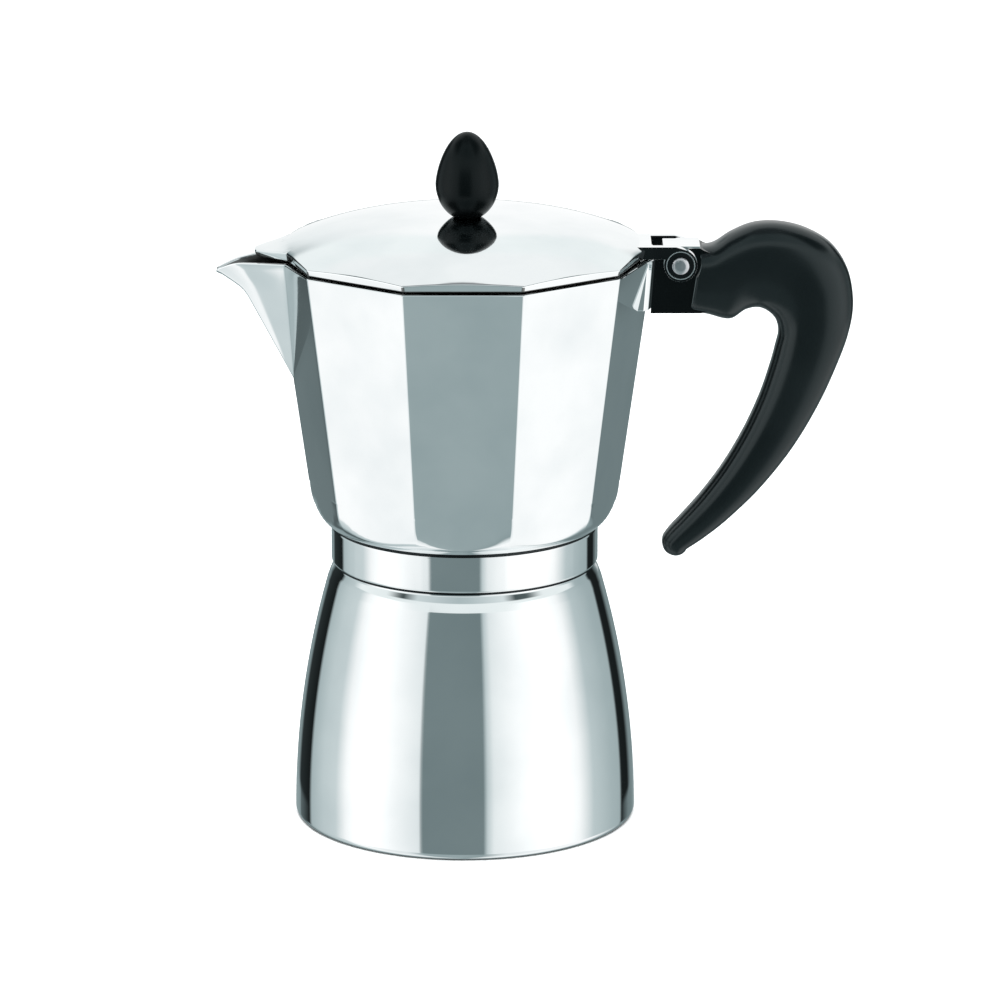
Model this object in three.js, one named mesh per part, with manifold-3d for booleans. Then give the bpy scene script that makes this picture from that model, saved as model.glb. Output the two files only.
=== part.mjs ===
// Stovetop moka pot: boiler, coffee funnel, seal, ten-sided collector, hinged lid and hook handle.
// Millimetres. The origin is the centre of the base. +Z is up and +X is toward the handle.

import * as THREE from 'three';
import { mergeVertices } from 'three/addons/utils/BufferGeometryUtils.js';
import { ConvexGeometry } from 'three/addons/geometries/ConvexGeometry.js';
import Module from 'manifold-3d';

const wasm = await Module();
wasm.setup();

// ---- driving dimensions ----

const GAP = 0.3; // between two pieces that rest on each other
const ROUND_SEGMENTS = 32;
const SMALL_SEGMENTS = 18;

// boiler: its wall is one long arc that starts upright at the base
const BASE_R = 50.1;
const WALL_ARC_R = 262;
const WALL_THICKNESS = 2.6;
const FLOOR_THICKNESS = 3.2;
const SHOULDER_Z = 76.7;
const WALL_TOP_Z = 71.4;
const NECK_R = 35;
const NECK_BORE_R = 32.3;
const NECK_TOP_Z = 91;

// screw thread between the boiler's neck and the collector's collar
const THREAD_LEAD = 3;
const THREAD_TURNS = 2.25;
const THREAD_START_Z = 79.4;
const THREAD_STEPS_PER_TURN = 16;

// safety valve, on the back of the boiler
const VALVE_Z = 45;
const VALVE_BOSS_R = 8.5;
const VALVE_BOSS_Y = 48.2;
const VALVE_SHANK_R = 5;
const VALVE_WASHER_THICKNESS = 0.8;
const VALVE_HEX_R = 8.1;
const VALVE_INNER_Y = 40.6;
const VALVE_LIP_Y = 51.5;
const VALVE_TIP_Y = 55.5;
const VALVE_CHAMBER_R = 3.6;
const VALVE_ROD_R = 1.3;

// coffee funnel
const BASKET_R = 31.3;
const BASKET_BORE_R = 30.4;
const BASKET_FLOOR_Z = 72.5;
const FUNNEL_RIM_R = 34.6;
const STEM_R = 4.8;
const STEM_BORE_R = 3.8;
const STEM_FOOT_Z = 6;

// collector: a ten-sided chamber that leans outward, on a round collar
const SIDES = 10;
const HALF_SIDE_ANGLE = Math.PI / SIDES;
const RIM_Z = 168;
const RIM_R = 54.9;
const WALL_LEAN = 0.1393;
const COLLECTOR_WALL = 2.1;
const COLLAR_R = 39;
const COLLAR_BORE_R = 36.4;
const COLLAR_FOOT_Z = 77;
const COLLAR_TOP_Z = 86.7;
const BOWL_ARC_R = 14.5;
const BOWL_ARC_CENTRE_R = 30.8;
const BOWL_ARC_CENTRE_Z = 100;
const CEILING_Z = 95.3;
const CHAMBER_FLOOR_Z = 98;

// spout, over the corner that faces -X
const SPOUT_TIP = [-71.3, 0, 162.6];
const SPOUT_LIP = [-71.8, 1.5, 163.7];
const SPOUT_KINK = [-63.5, 0, 157.4];
const SPOUT_APEX_Z = 131;
const SPOUT_END_X = -66.5;
const SPOUT_END_Z = 166.2;
const SPOUT_END_HALF_WIDTH = 3.7;
const SPOUT_ROOT_HALF_WIDTH = 14.2;
const SPOUT_CORNER_Z = 155;
const FLARE_PROUD = 1.2;

// boss for the handle, over the corner that faces +X
const BOSS_HALF_WIDTH = 8.7;
const BOSS_PROUD = 1.7;
const BOSS_LEAN = 0.075;
const BOSS_FOOT_Z = 152.8;
const BOSS_CORNER_Z = 161.4;
const BOSS_TOP_Z = 167.6;

// lid
const LID_FOOT_Z = RIM_Z + GAP;
const LID_SHELL = 1.7;
const LID_TOP_Z = 179;
const LID_LANDING_R = 5.5;
const LID_DOME = 0.0000548; // the crown drops by this much times the radius cubed
const LID_DOME_R = 52.2;
const LID_EDGE_Z = 170.4;
const BEAK_ROOT = { x: -48, halfWidth: 13.4, top: 172 };
const BEAK_END = { x: -60.6, halfWidth: 3, top: 169.8 };

// lid hinge
const PIN_X = 62.3;
const PIN_Z = 166.5;
const PIN_R = 1.6;
const PIN_BORE_R = 1.9;
const EAR_R = 4.8;
const EAR_INNER_Y = 6.3;
const EAR_OUTER_Y = 9;
const ARM_TOP_Z = 171.9;
const SLOT_X = 54;

// handle
const HANDLE_HALF_THICKNESS = 9;
const NOSE_HALF_THICKNESS = 6;
const NOSE_TOP_Z = 171.5;
const NOSE_SWING_R = 8.1;
const SCREW_Z = 158.5;
const SCREW_R = 1.9;
const SCREW_HOLE_R = 2.2;

// knob: an egg, widest at KNOB_WAIST_Z
const KNOB_X = 0.9;
const KNOB_R = 9.15;
const KNOB_WAIST_Z = 188.8;
const KNOB_ABOVE_WAIST = 15.1;
const KNOB_BELOW_WAIST = 10.8;
const KNOB_FOOT_Z = LID_TOP_Z + GAP;

// ---- materials ----

const finish = (color, roughness, metalness) => (
  new THREE.MeshStandardMaterial({ color, roughness, metalness })
);
const metal = (color, roughness) => finish(color, roughness, 1);
const plain = (color, roughness) => finish(color, roughness, 0);

const polishedAluminium = () => metal(0xdfe3e4, 0.08);
const stampedAluminium = () => metal(0xc4c8ca, 0.35);
const brass = () => metal(0xc9a55a, 0.3);
const steel = () => metal(0xb9bcc0, 0.25);
const blackPlastic = () => plain(0x14181a, 0.35);
const whiteRubber = () => plain(0xe6e4dc, 0.7);

// ---- geometry helpers ----

function signedVolume(places, corners) {
  const [a, b, c] = [new THREE.Vector3(), new THREE.Vector3(), new THREE.Vector3()];
  let six = 0;
  for (let i = 0; i < corners.length; i += 3) {
    a.fromBufferAttribute(places, corners[i]);
    b.fromBufferAttribute(places, corners[i + 1]);
    c.fromBufferAttribute(places, corners[i + 2]);
    six += a.dot(b.cross(c));
  }
  return six / 6;
}

// A closed geometry as a solid, with its faces turned outward.
function solidOf(geometry) {
  const bare = new THREE.BufferGeometry();
  bare.setAttribute('position', geometry.getAttribute('position').clone());
  if (geometry.index) bare.setIndex(geometry.index.clone());
  const merged = mergeVertices(bare, 1e-4);
  const places = merged.getAttribute('position');
  const index = merged.index.array;
  const corners = [];
  for (let i = 0; i < index.length; i += 3) {
    const [a, b, c] = [index[i], index[i + 1], index[i + 2]];
    if (a !== b && b !== c && c !== a) corners.push(a, b, c);
  }
  if (signedVolume(places, corners) < 0) corners.reverse();
  const triVerts = new Uint32Array(corners);
  const mesh = new wasm.Mesh({ numProp: 3, vertProperties: places.array, triVerts });
  return new wasm.Manifold(mesh);
}

const joined = (first, ...others) => others.reduce((sum, next) => sum.add(next), first);
const cutBy = (first, ...others) => others.reduce((rest, next) => rest.subtract(next), first);

function meshOf(name, solid, material) {
  const { vertProperties, triVerts } = solid.getMesh();
  const geometry = new THREE.BufferGeometry();
  geometry.setAttribute('position', new THREE.BufferAttribute(vertProperties, 3));
  geometry.setIndex(new THREE.BufferAttribute(triVerts, 1));
  geometry.computeVertexNormals();
  const mesh = new THREE.Mesh(geometry, material);
  mesh.name = name;
  return mesh;
}

function turned(profile, segments) {
  const points = profile.map(([radius, height]) => new THREE.Vector2(radius, height));
  return new THREE.LatheGeometry(points, segments);
}

// Solids of revolution from [radius, height] points: about Z, about a line along Y, about one along X.
function lathe(profile, segments = ROUND_SEGMENTS) {
  return solidOf(turned(profile, segments).rotateX(Math.PI / 2));
}

function latheAlongY(profile, x, z, segments = SMALL_SEGMENTS) {
  return solidOf(turned(profile, segments).translate(x, 0, z));
}

function latheAlongX(profile, z, segments = SMALL_SEGMENTS) {
  return solidOf(turned(profile, segments).rotateZ(-Math.PI / 2).translate(0, 0, z));
}

const rod = (radius, low, high) => [[0, low], [radius, low], [radius, high], [0, high]];
const ring = (inner, outer, low, high) => [
  [inner, low], [outer, low], [outer, high], [inner, high], [inner, low],
];

function box([lowX, lowY, lowZ], [highX, highY, highZ]) {
  const geometry = new THREE.BoxGeometry(highX - lowX, highY - lowY, highZ - lowZ);
  return solidOf(geometry.translate((lowX + highX) / 2, (lowY + highY) / 2, (lowZ + highZ) / 2));
}

function hull(points) {
  return solidOf(new ConvexGeometry(points.map(([x, y, z]) => new THREE.Vector3(x, y, z))));
}

// A ten-sided frustum with a corner at +X and one at -X.
function decagon(lowR, highR, lowZ, highZ) {
  const height = highZ - lowZ;
  const geometry = new THREE.CylinderGeometry(highR, lowR, height, SIDES, 1, false, HALF_SIDE_ANGLE);
  return solidOf(geometry.rotateX(Math.PI / 2).translate(0, 0, (lowZ + highZ) / 2));
}

// Points on a circle, in degrees from the +radius direction toward +height.
function arc(centreR, centreZ, radius, from, to, steps) {
  return Array.from({ length: steps + 1 }, (_, i) => {
    const angle = THREE.MathUtils.degToRad(from + ((to - from) * i) / steps);
    return [centreR + radius * Math.cos(angle), centreZ + radius * Math.sin(angle)];
  });
}

// An outline in the XZ plane, as a plate between y = low and y = high.
function plate(shape, low, high, curveSegments = 6) {
  const depth = high - low;
  const geometry = new THREE.ExtrudeGeometry(shape, { depth, bevelEnabled: false, curveSegments });
  return solidOf(geometry.rotateX(Math.PI / 2).translate(0, high, 0));
}

function circlePoints(x, y, radius, count) {
  return Array.from({ length: count }, (_, i) => {
    const angle = (2 * Math.PI * i) / count;
    return new THREE.Vector2(x + radius * Math.cos(angle), y + radius * Math.sin(angle));
  });
}

// A flat disc with rings of small holes.
function perforatedDisc(radius, lowZ, thickness, holeR, ringStep, rings) {
  const shape = new THREE.Shape(circlePoints(0, 0, radius, ROUND_SEGMENTS));
  shape.holes.push(new THREE.Path(circlePoints(0, 0, holeR, 6)));
  for (let ringNumber = 1; ringNumber <= rings; ringNumber += 1) {
    for (const centre of circlePoints(0, 0, ringNumber * ringStep, 6 * ringNumber)) {
      shape.holes.push(new THREE.Path(circlePoints(centre.x, centre.y, holeR, 6)));
    }
  }
  const geometry = new THREE.ExtrudeGeometry(shape, { depth: thickness, bevelEnabled: false });
  return solidOf(geometry.translate(0, 0, lowZ));
}

// A bar of trapezoid section wound on the thread's helix: a ridge to add or a groove to cut.
function helicalBar(rootR, crestR, rootHeight, crestHeight) {
  const geometry = new THREE.BoxGeometry(1, 1, 1, THREAD_TURNS * THREAD_STEPS_PER_TURN);
  const places = geometry.getAttribute('position');
  for (let i = 0; i < places.count; i += 1) {
    const turns = (places.getX(i) + 0.5) * THREAD_TURNS;
    const atCrest = places.getY(i) > 0;
    const radius = atCrest ? crestR : rootR;
    const height = atCrest ? crestHeight : rootHeight;
    const angle = 2 * Math.PI * turns;
    const z = THREAD_START_Z + THREAD_LEAD * turns + places.getZ(i) * height;
    places.setXYZ(i, radius * Math.cos(angle), radius * Math.sin(angle), z);
  }
  return solidOf(geometry);
}

// ---- boiler ----

const boilerRadius = (z) => BASE_R - WALL_ARC_R + Math.sqrt(WALL_ARC_R ** 2 - z ** 2);

function wallPoints(fromZ, toZ, steps, inset) {
  return Array.from({ length: steps + 1 }, (_, i) => {
    const z = fromZ + ((toZ - fromZ) * i) / steps;
    return [boilerRadius(z) - inset, z];
  });
}

function boiler() {
  const underside = [[0, 0], [29, 0], [29.4, 0.5], [30.6, 0.5], [31, 0], [48.4, 0]];
  const bottomEdge = arc(48.4, 1.7, 1.7, -90, -10, 3).slice(1);
  const lip = [[38.5, 75.8], [38, SHOULDER_Z]];
  const neck = [[NECK_R, SHOULDER_Z], [NECK_R, NECK_TOP_Z - 0.5], [NECK_R - 0.5, NECK_TOP_Z]];
  const mouth = [[NECK_BORE_R, NECK_TOP_Z], [NECK_BORE_R, 78]];
  const innerWall = wallPoints(71, 10, 4, WALL_THICKNESS);
  const innerCorner = arc(40.4, 9.7, 6.5, 0, -90, 4).slice(1);
  const body = lathe([
    ...underside,
    ...bottomEdge,
    ...wallPoints(3, WALL_TOP_Z, 7, 0),
    ...lip,
    ...neck,
    ...mouth,
    ...innerWall,
    ...innerCorner,
    [0, FLOOR_THICKNESS],
  ]);
  const ridge = helicalBar(NECK_R - 0.5, NECK_R + 1, 2.2, 0.8);
  const boss = latheAlongY(rod(VALVE_BOSS_R, 42.4, VALVE_BOSS_Y), 0, VALVE_Z, 24);
  const bore = latheAlongY(rod(VALVE_SHANK_R + GAP, 30, 60), 0, VALVE_Z);
  return cutBy(joined(body, ridge, boss), bore);
}

// ---- safety valve, turned about a line along Y ----

function valveBody() {
  const hexY = VALVE_BOSS_Y + VALVE_WASHER_THICKNESS + 2 * GAP;
  const shank = latheAlongY(rod(VALVE_SHANK_R, VALVE_INNER_Y, hexY + 1), 0, VALVE_Z);
  const hex = latheAlongY(rod(VALVE_HEX_R, hexY, hexY + 4), 0, VALVE_Z, 6);
  const noseProfile = [
    [0, hexY], [4.6, hexY], [4.6, VALVE_TIP_Y - 0.6], [4, VALVE_TIP_Y], [0, VALVE_TIP_Y],
  ];
  const nose = latheAlongY(noseProfile, 0, VALVE_Z);
  const chamber = latheAlongY(rod(VALVE_CHAMBER_R, 30, VALVE_LIP_Y), 0, VALVE_Z);
  const rodHole = latheAlongY(rod(VALVE_ROD_R + GAP, 30, 60), 0, VALVE_Z, 12);
  return cutBy(joined(shank, hex, nose), chamber, rodHole);
}

function valveWasher() {
  const y = VALVE_BOSS_Y + GAP;
  return latheAlongY(ring(VALVE_SHANK_R + GAP, 7.4, y, y + VALVE_WASHER_THICKNESS), 0, VALVE_Z);
}

function valveSeat() {
  const seat = ring(1.8, VALVE_CHAMBER_R - GAP, VALVE_INNER_Y, VALVE_INNER_Y + 1.8);
  return latheAlongY(seat, 0, VALVE_Z, 16);
}

function valvePin() {
  const discY = VALVE_INNER_Y + 1.8 + GAP;
  const buttonY = VALVE_TIP_Y + GAP;
  const profile = [
    [0, discY], [2.9, discY], [2.9, discY + 1.2], [VALVE_ROD_R, discY + 1.2],
    [VALVE_ROD_R, buttonY], [2.1, buttonY], [2.1, buttonY + 1], [1.4, buttonY + 1.5], [0, buttonY + 1.5],
  ];
  return latheAlongY(profile, 0, VALVE_Z, 12);
}

class CoilCurve extends THREE.Curve {
  constructor(radius, low, high, turns) {
    super();
    Object.assign(this, { radius, low, high, turns });
  }

  getPoint(t, target = new THREE.Vector3()) {
    const angle = 2 * Math.PI * this.turns * t;
    const y = this.low + (this.high - this.low) * t;
    return target.set(this.radius * Math.cos(angle), y, VALVE_Z + this.radius * Math.sin(angle));
  }
}

function valveSpring() {
  const wireR = 0.35;
  const low = VALVE_INNER_Y + 1.8 + GAP + 1.2 + GAP + wireR;
  const high = VALVE_LIP_Y - GAP - wireR;
  const extrudePath = new CoilCurve(2.45, low, high, 5);
  const wire = new THREE.Shape(circlePoints(0, 0, wireR, 5));
  const options = { steps: 40, extrudePath, bevelEnabled: false };
  return solidOf(new THREE.ExtrudeGeometry(wire, options));
}

// ---- coffee funnel ----

function funnel() {
  const rimZ = NECK_TOP_Z + GAP;
  const rimTopZ = rimZ + 0.8;
  const body = lathe([
    [FUNNEL_RIM_R, rimZ], [FUNNEL_RIM_R, rimTopZ], [BASKET_BORE_R, rimTopZ],
    [BASKET_BORE_R, BASKET_FLOOR_Z], [28.4, BASKET_FLOOR_Z],
    [STEM_BORE_R, 58], [STEM_BORE_R, STEM_FOOT_Z], [STEM_R, STEM_FOOT_Z], [STEM_R, 57.4],
    [28.8, BASKET_FLOOR_Z - 1], [BASKET_R, BASKET_FLOOR_Z - 1], [BASKET_R, rimZ],
    [FUNNEL_RIM_R, rimZ],
  ]);
  const footNotch = box([-10, -1.2, 0], [10, 1.2, STEM_FOOT_Z + 3]);
  return cutBy(body, footNotch);
}

const SIEVE = { thickness: 0.8, holeR: 1, ringStep: 9, rings: 2 };

function sieve(radius, lowZ) {
  return perforatedDisc(radius, lowZ, SIEVE.thickness, SIEVE.holeR, SIEVE.ringStep, SIEVE.rings);
}

const funnelScreen = () => sieve(BASKET_BORE_R - GAP, BASKET_FLOOR_Z + GAP);

// ---- seal between the boiler and the collector ----

const GASKET_Z = NECK_TOP_Z + 2 * GAP + 0.8;

function gasket() {
  return lathe([
    [25.2, GASKET_Z], [34, GASKET_Z], [34, GASKET_Z + 2.6], [28, GASKET_Z + 2.6],
    [28, GASKET_Z + 1.5], [25.2, GASKET_Z + 1.5], [25.2, GASKET_Z],
  ]);
}

const filterPlate = () => sieve(28 - GAP, GASKET_Z + 1.5 + GAP);

// ---- riser column ----

function riserColumn() {
  const foot = CHAMBER_FLOOR_Z + GAP;
  const body = lathe([
    [0, 147], [3.4, 145.6], [3.6, 110], [8.2, 101.5], [8.2, foot], [14, foot], [14, foot + 1.2],
    [7.4, 107], [6.2, 113], [5.7, 145.5], ...arc(0, 145.5, 5.1, 20, 90, 3),
  ], 24);
  const outlets = box([-1.4, -10, 139.5], [1.4, 10, 145]);
  return cutBy(body, outlets);
}

// ---- collector ----

const chamberR = (z) => RIM_R - WALL_LEAN * (RIM_Z - z);
const bowl = (radius, topR) => lathe([
  [0, 86],
  [BOWL_ARC_CENTRE_R, 86],
  ...arc(BOWL_ARC_CENTRE_R, BOWL_ARC_CENTRE_Z, radius, -57.5, 0, 6),
  [topR + 0.7, BOWL_ARC_CENTRE_Z + 1.5],
  [topR + 12, RIM_Z + 10],
  [0, RIM_Z + 10],
]);

function frustumOffset(offset, lowZ, highZ) {
  const cornerOffset = offset / Math.cos(HALF_SIDE_ANGLE);
  return decagon(chamberR(lowZ) + cornerOffset, chamberR(highZ) + cornerOffset, lowZ, highZ);
}

// The boss leans less than the walls around it.
const bossR = (z) => RIM_R - BOSS_LEAN * (RIM_Z - z);

function bossOffset(offset, lowZ, highZ) {
  const cornerOffset = offset / Math.cos(HALF_SIDE_ANGLE);
  return decagon(bossR(lowZ) + cornerOffset, bossR(highZ) + cornerOffset, lowZ, highZ);
}

function mirroredPoints(x, y, z) {
  return [[x, y, z], [x, -y, z]];
}

// The face on each side of the corner at +X (side = 1) or -X (side = -1), at a half width from it.
function cornerFaceX(side, halfWidth, z) {
  return side * (chamberR(z) - halfWidth * Math.tan(HALF_SIDE_ANGLE));
}

// The walls beside the spout and the boss are pressed out a little, above a slanted crease.
function flare(side, rootHalfWidth, footHalfWidth, footZ, creaseZ) {
  const nextCorner = (z) => mirroredPoints(
    side * chamberR(z) * Math.cos(2 * HALF_SIDE_ANGLE),
    chamberR(z) * Math.sin(2 * HALF_SIDE_ANGLE),
    z,
  );
  const rootX = cornerFaceX(side, rootHalfWidth, RIM_Z) + side * FLARE_PROUD;
  return hull([
    ...mirroredPoints(rootX, rootHalfWidth, RIM_Z),
    ...mirroredPoints(cornerFaceX(side, footHalfWidth, footZ), footHalfWidth, footZ),
    ...nextCorner(RIM_Z),
    ...nextCorner(creaseZ),
    [side * 30, 0, RIM_Z],
    [side * 40, 0, footZ],
  ]);
}

function spoutOutside() {
  const apex = [-chamberR(SPOUT_APEX_Z), 0, SPOUT_APEX_Z];
  const rootX = cornerFaceX(-1, SPOUT_ROOT_HALF_WIDTH, RIM_Z) - FLARE_PROUD;
  const root = mirroredPoints(rootX, SPOUT_ROOT_HALF_WIDTH, RIM_Z);
  const end = mirroredPoints(SPOUT_END_X, SPOUT_END_HALF_WIDTH, SPOUT_END_Z);
  const lip = mirroredPoints(...SPOUT_LIP);
  const throat = hull([apex, ...root, ...end, SPOUT_KINK, [-45, 0, RIM_Z], [-45, 0, SPOUT_APEX_Z]]);
  const beak = hull([SPOUT_KINK, ...end, SPOUT_TIP, ...lip, [-60, 0, 165]]);
  const besideRoot = flare(-1, SPOUT_ROOT_HALF_WIDTH, 0, SPOUT_APEX_Z, SPOUT_CORNER_Z);
  return joined(throat, beak, besideRoot);
}

// The channel keeps a wall's thickness inside the throat and the beak, and runs out over the tip.
function spoutChannel() {
  const top = RIM_Z + 4;
  const bend = [-61.6, 0, 158.8];
  const bendTop = mirroredPoints(-64.6, 3.5, top);
  const throat = hull([
    [-46.8, 0, SPOUT_APEX_Z + 3.2],
    [-40, 0, SPOUT_APEX_Z + 3.2],
    bend,
    ...bendTop,
    ...mirroredPoints(-49.5, SPOUT_ROOT_HALF_WIDTH - 1.4, top),
    ...mirroredPoints(-40, SPOUT_ROOT_HALF_WIDTH - 1.4, top),
  ]);
  const beak = hull([bend, [-73, 0, 164.9], ...mirroredPoints(-73, 0.8, top), ...bendTop]);
  return joined(throat, beak);
}

function collector() {
  const chamberFootR = chamberR(BOWL_ARC_CENTRE_Z);
  const chamber = frustumOffset(0, 86, RIM_Z).intersect(bowl(BOWL_ARC_R, chamberFootR));
  const collar = lathe([
    [0, COLLAR_FOOT_Z], [COLLAR_R - 0.4, COLLAR_FOOT_Z], [COLLAR_R, COLLAR_FOOT_Z + 0.4],
    [COLLAR_R, COLLAR_TOP_Z - 0.3], [COLLAR_R - 0.6, COLLAR_TOP_Z], [COLLAR_R - 0.6, 90], [0, 90],
  ]);
  const bossSlab = box([40, -BOSS_HALF_WIDTH, BOSS_FOOT_Z], [70, BOSS_HALF_WIDTH, BOSS_TOP_Z]);
  const boss = bossOffset(BOSS_PROUD, BOSS_FOOT_Z - 10, RIM_Z).intersect(bossSlab);
  const bossFlare = flare(1, BOSS_HALF_WIDTH, BOSS_HALF_WIDTH, BOSS_FOOT_Z, BOSS_CORNER_Z);
  const outside = joined(chamber, collar, boss, bossFlare, spoutOutside());
  const innerBowl = bowl(BOWL_ARC_R - COLLECTOR_WALL, chamberFootR - COLLECTOR_WALL);
  const aboveFloor = box([-70, -70, CHAMBER_FLOOR_Z], [70, 70, RIM_Z + 20]);
  const insideWalls = frustumOffset(-COLLECTOR_WALL, 90, RIM_Z + 5);
  const cavity = insideWalls.intersect(innerBowl).intersect(aboveFloor);
  const screwPad = box([48.6, -5, SCREW_Z - 5], [53, 5, SCREW_Z + 5]);
  const bore = lathe(rod(COLLAR_BORE_R, 70, CEILING_Z));
  const groove = helicalBar(COLLAR_BORE_R - 0.6, COLLAR_BORE_R + 0.9, 2.2, 0.9);
  const steamHole = lathe(rod(8.2, 90, 100), SMALL_SEGMENTS);
  const screwHole = latheAlongX(rod(SCREW_HOLE_R, 40, 70), SCREW_Z, 12);
  const shell = joined(cutBy(outside, cavity, spoutChannel()), screwPad);
  return cutBy(shell, bore, groove, steamHole, screwHole);
}

// ---- handle ----

// The handle's outline in the XZ plane: nose, arched underside, hooked grip and rounded back.
function handleOutline() {
  const shape = new THREE.Shape();
  const through = (points) => shape.splineThru(points.map(([x, z]) => new THREE.Vector2(x, z)));
  const degrees = THREE.MathUtils.degToRad;
  shape.moveTo(50, BOSS_FOOT_Z);
  shape.lineTo(66, BOSS_FOOT_Z);
  shape.lineTo(77.3, 151);
  through([[81.6, 152.6], [84.6, 153], [87.5, 152], [90.2, 148.8], [90.7, 143.5], [88.5, 134.2]]);
  through([[83.2, 119.8], [75.4, 105.3], [66.5, 93.4], [60.2, 86.2]]);
  shape.absarc(60.4, 81.4, 3, degrees(150), degrees(300), false);
  through([[70.4, 83.5], [82.6, 94.4], [94.4, 108.9], [102.9, 123.4], [108.8, 137.8]]);
  through([[112, 149.7], [111, 161.6], [105.7, 171.1], [98.9, 175.8], [90.3, 178.4]]);
  through([[81.6, 175.8], [75.6, 172.8], [70.5, 170.6]]);
  shape.lineTo(68.8, 170.6);
  shape.lineTo(67.6, NOSE_TOP_Z);
  shape.lineTo(50, NOSE_TOP_Z);
  return shape;
}

function handle() {
  const edge = 3;
  const inset = 1.8;
  const block = solidOf(new THREE.ExtrudeGeometry(handleOutline(), {
    depth: 2 * (HANDLE_HALF_THICKNESS - edge),
    bevelThickness: edge,
    bevelSize: inset,
    bevelOffset: -inset,
    bevelSegments: 1,
    curveSegments: 2,
  }).rotateX(Math.PI / 2).translate(0, HANDLE_HALF_THICKNESS - edge, 0));
  const shoulder = [[40, 140], [40, 180], [69.6, 180], [63.4, 140]];
  const besideNose = (low, high) => joined(
    hull(shoulder.flatMap(([x, z]) => [[x, low, z], [x, high, z]])),
    latheAlongY(rod(EAR_R + 1.2, low, high), PIN_X, PIN_Z, 24),
  );
  const wide = HANDLE_HALF_THICKNESS + 5;
  const boss = bossOffset(BOSS_PROUD + GAP, 130, RIM_Z + 5);
  const beyondSwing = box([40, -wide, PIN_Z], [PIN_X, wide, 180])
    .subtract(latheAlongY(rod(NOSE_SWING_R, -20, 20), PIN_X, PIN_Z, 32));
  const pinBore = latheAlongY(rod(PIN_BORE_R, -20, 20), PIN_X, PIN_Z, 16);
  const insertPocket = latheAlongX(rod(3.7, 40, 64), SCREW_Z, 16);
  return cutBy(
    block,
    besideNose(-wide, -NOSE_HALF_THICKNESS),
    besideNose(NOSE_HALF_THICKNESS, wide),
    boss,
    beyondSwing,
    pinBore,
    insertPocket,
  );
}

function handleInsert() {
  const radius = 3.4;
  const face = bossR(SCREW_Z + radius) + BOSS_PROUD / Math.cos(HALF_SIDE_ANGLE) + GAP;
  return latheAlongX(ring(SCREW_R + GAP, radius, face, 63.7), SCREW_Z, 16);
}

function handleScrew() {
  const head = 48.6 - GAP;
  const profile = [
    [0, head - 2], [2.4, head - 2], [3.5, head - 1.1], [3.5, head], [SCREW_R, head], [SCREW_R, 62], [0, 62],
  ];
  const slot = box([40, -0.4, SCREW_Z - 10], [head - 1.2, 0.4, SCREW_Z + 10]);
  return cutBy(latheAlongX(profile, SCREW_Z, 16), slot);
}

// ---- lid and its hinge ----

const LID_UNDERSIDE_Z = LID_TOP_Z - LID_SHELL - 0.2;

function hingePin() {
  const face = EAR_OUTER_Y + GAP;
  const half = [[PIN_R, face], [2.6, face], [2.4, face + 0.7], [1.4, face + 1], [0, face + 1]];
  const profile = [...half.map(([radius, y]) => [radius, -y]).reverse(), ...half];
  return latheAlongY(profile, PIN_X, PIN_Z, 16);
}

function earOutline() {
  const degrees = THREE.MathUtils.degToRad;
  const shape = new THREE.Shape();
  shape.moveTo(SLOT_X - 2, LID_FOOT_Z);
  shape.lineTo(SLOT_X - 2, ARM_TOP_Z);
  shape.lineTo(PIN_X - 1.3, ARM_TOP_Z);
  shape.absarc(PIN_X, PIN_Z, EAR_R, degrees(75), degrees(-202), true);
  return shape;
}

// A shallow crown, steeper toward its edge: [radius, height] points, lowered by a shell's thickness.
function domePoints(radii, shell) {
  return radii.map((radius) => {
    const drop = LID_DOME * (radius ** 3 - LID_LANDING_R ** 3);
    return [radius, LID_TOP_Z - drop - shell];
  });
}

function lid() {
  const top = lathe([
    [0, LID_FOOT_Z], [62, LID_FOOT_Z], [RIM_R, LID_EDGE_Z],
    ...domePoints([LID_DOME_R, 48, 43.5, 39, 34, 28, 20, LID_LANDING_R], 0), [0, LID_TOP_Z],
  ]);
  const cap = top.intersect(decagon(RIM_R, RIM_R, LID_FOOT_Z, LID_TOP_Z + 5));
  const beak = hull([
    ...mirroredPoints(BEAK_ROOT.x, BEAK_ROOT.halfWidth, LID_FOOT_Z),
    ...mirroredPoints(BEAK_ROOT.x, BEAK_ROOT.halfWidth, BEAK_ROOT.top),
    ...mirroredPoints(BEAK_END.x, BEAK_END.halfWidth, LID_FOOT_Z - 0.6),
    ...mirroredPoints(BEAK_END.x, BEAK_END.halfWidth, BEAK_END.top),
  ]);
  const arm = box([42, -EAR_OUTER_Y, LID_FOOT_Z], [SLOT_X, EAR_OUTER_Y, ARM_TOP_Z]);
  const nearEar = plate(earOutline(), -EAR_OUTER_Y, -EAR_INNER_Y);
  const farEar = plate(earOutline(), EAR_INNER_Y, EAR_OUTER_Y);
  const hollow = lathe([
    [0, 160], [51.5, 160], ...domePoints([51.5, 44, 34, 20], LID_SHELL),
    [7, LID_UNDERSIDE_Z], [0, LID_UNDERSIDE_Z],
  ]).intersect(decagon(RIM_R - LID_SHELL, RIM_R - LID_SHELL, 160, LID_TOP_Z));
  const slot = box([SLOT_X, -EAR_INNER_Y, 160], [SLOT_X + 20, EAR_INNER_Y, LID_TOP_Z]);
  const pinBore = latheAlongY(rod(PIN_BORE_R, -20, 20), PIN_X, PIN_Z, 16);
  const knobHole = lathe(rod(PIN_BORE_R, 170, 190), 16).translate([KNOB_X, 0, 0]);
  return cutBy(joined(cap, beak, arm, nearEar, farEar), hollow, slot, pinBore, knobHole);
}

// ---- knob and its fixings, turned about a line through KNOB_X ----

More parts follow.
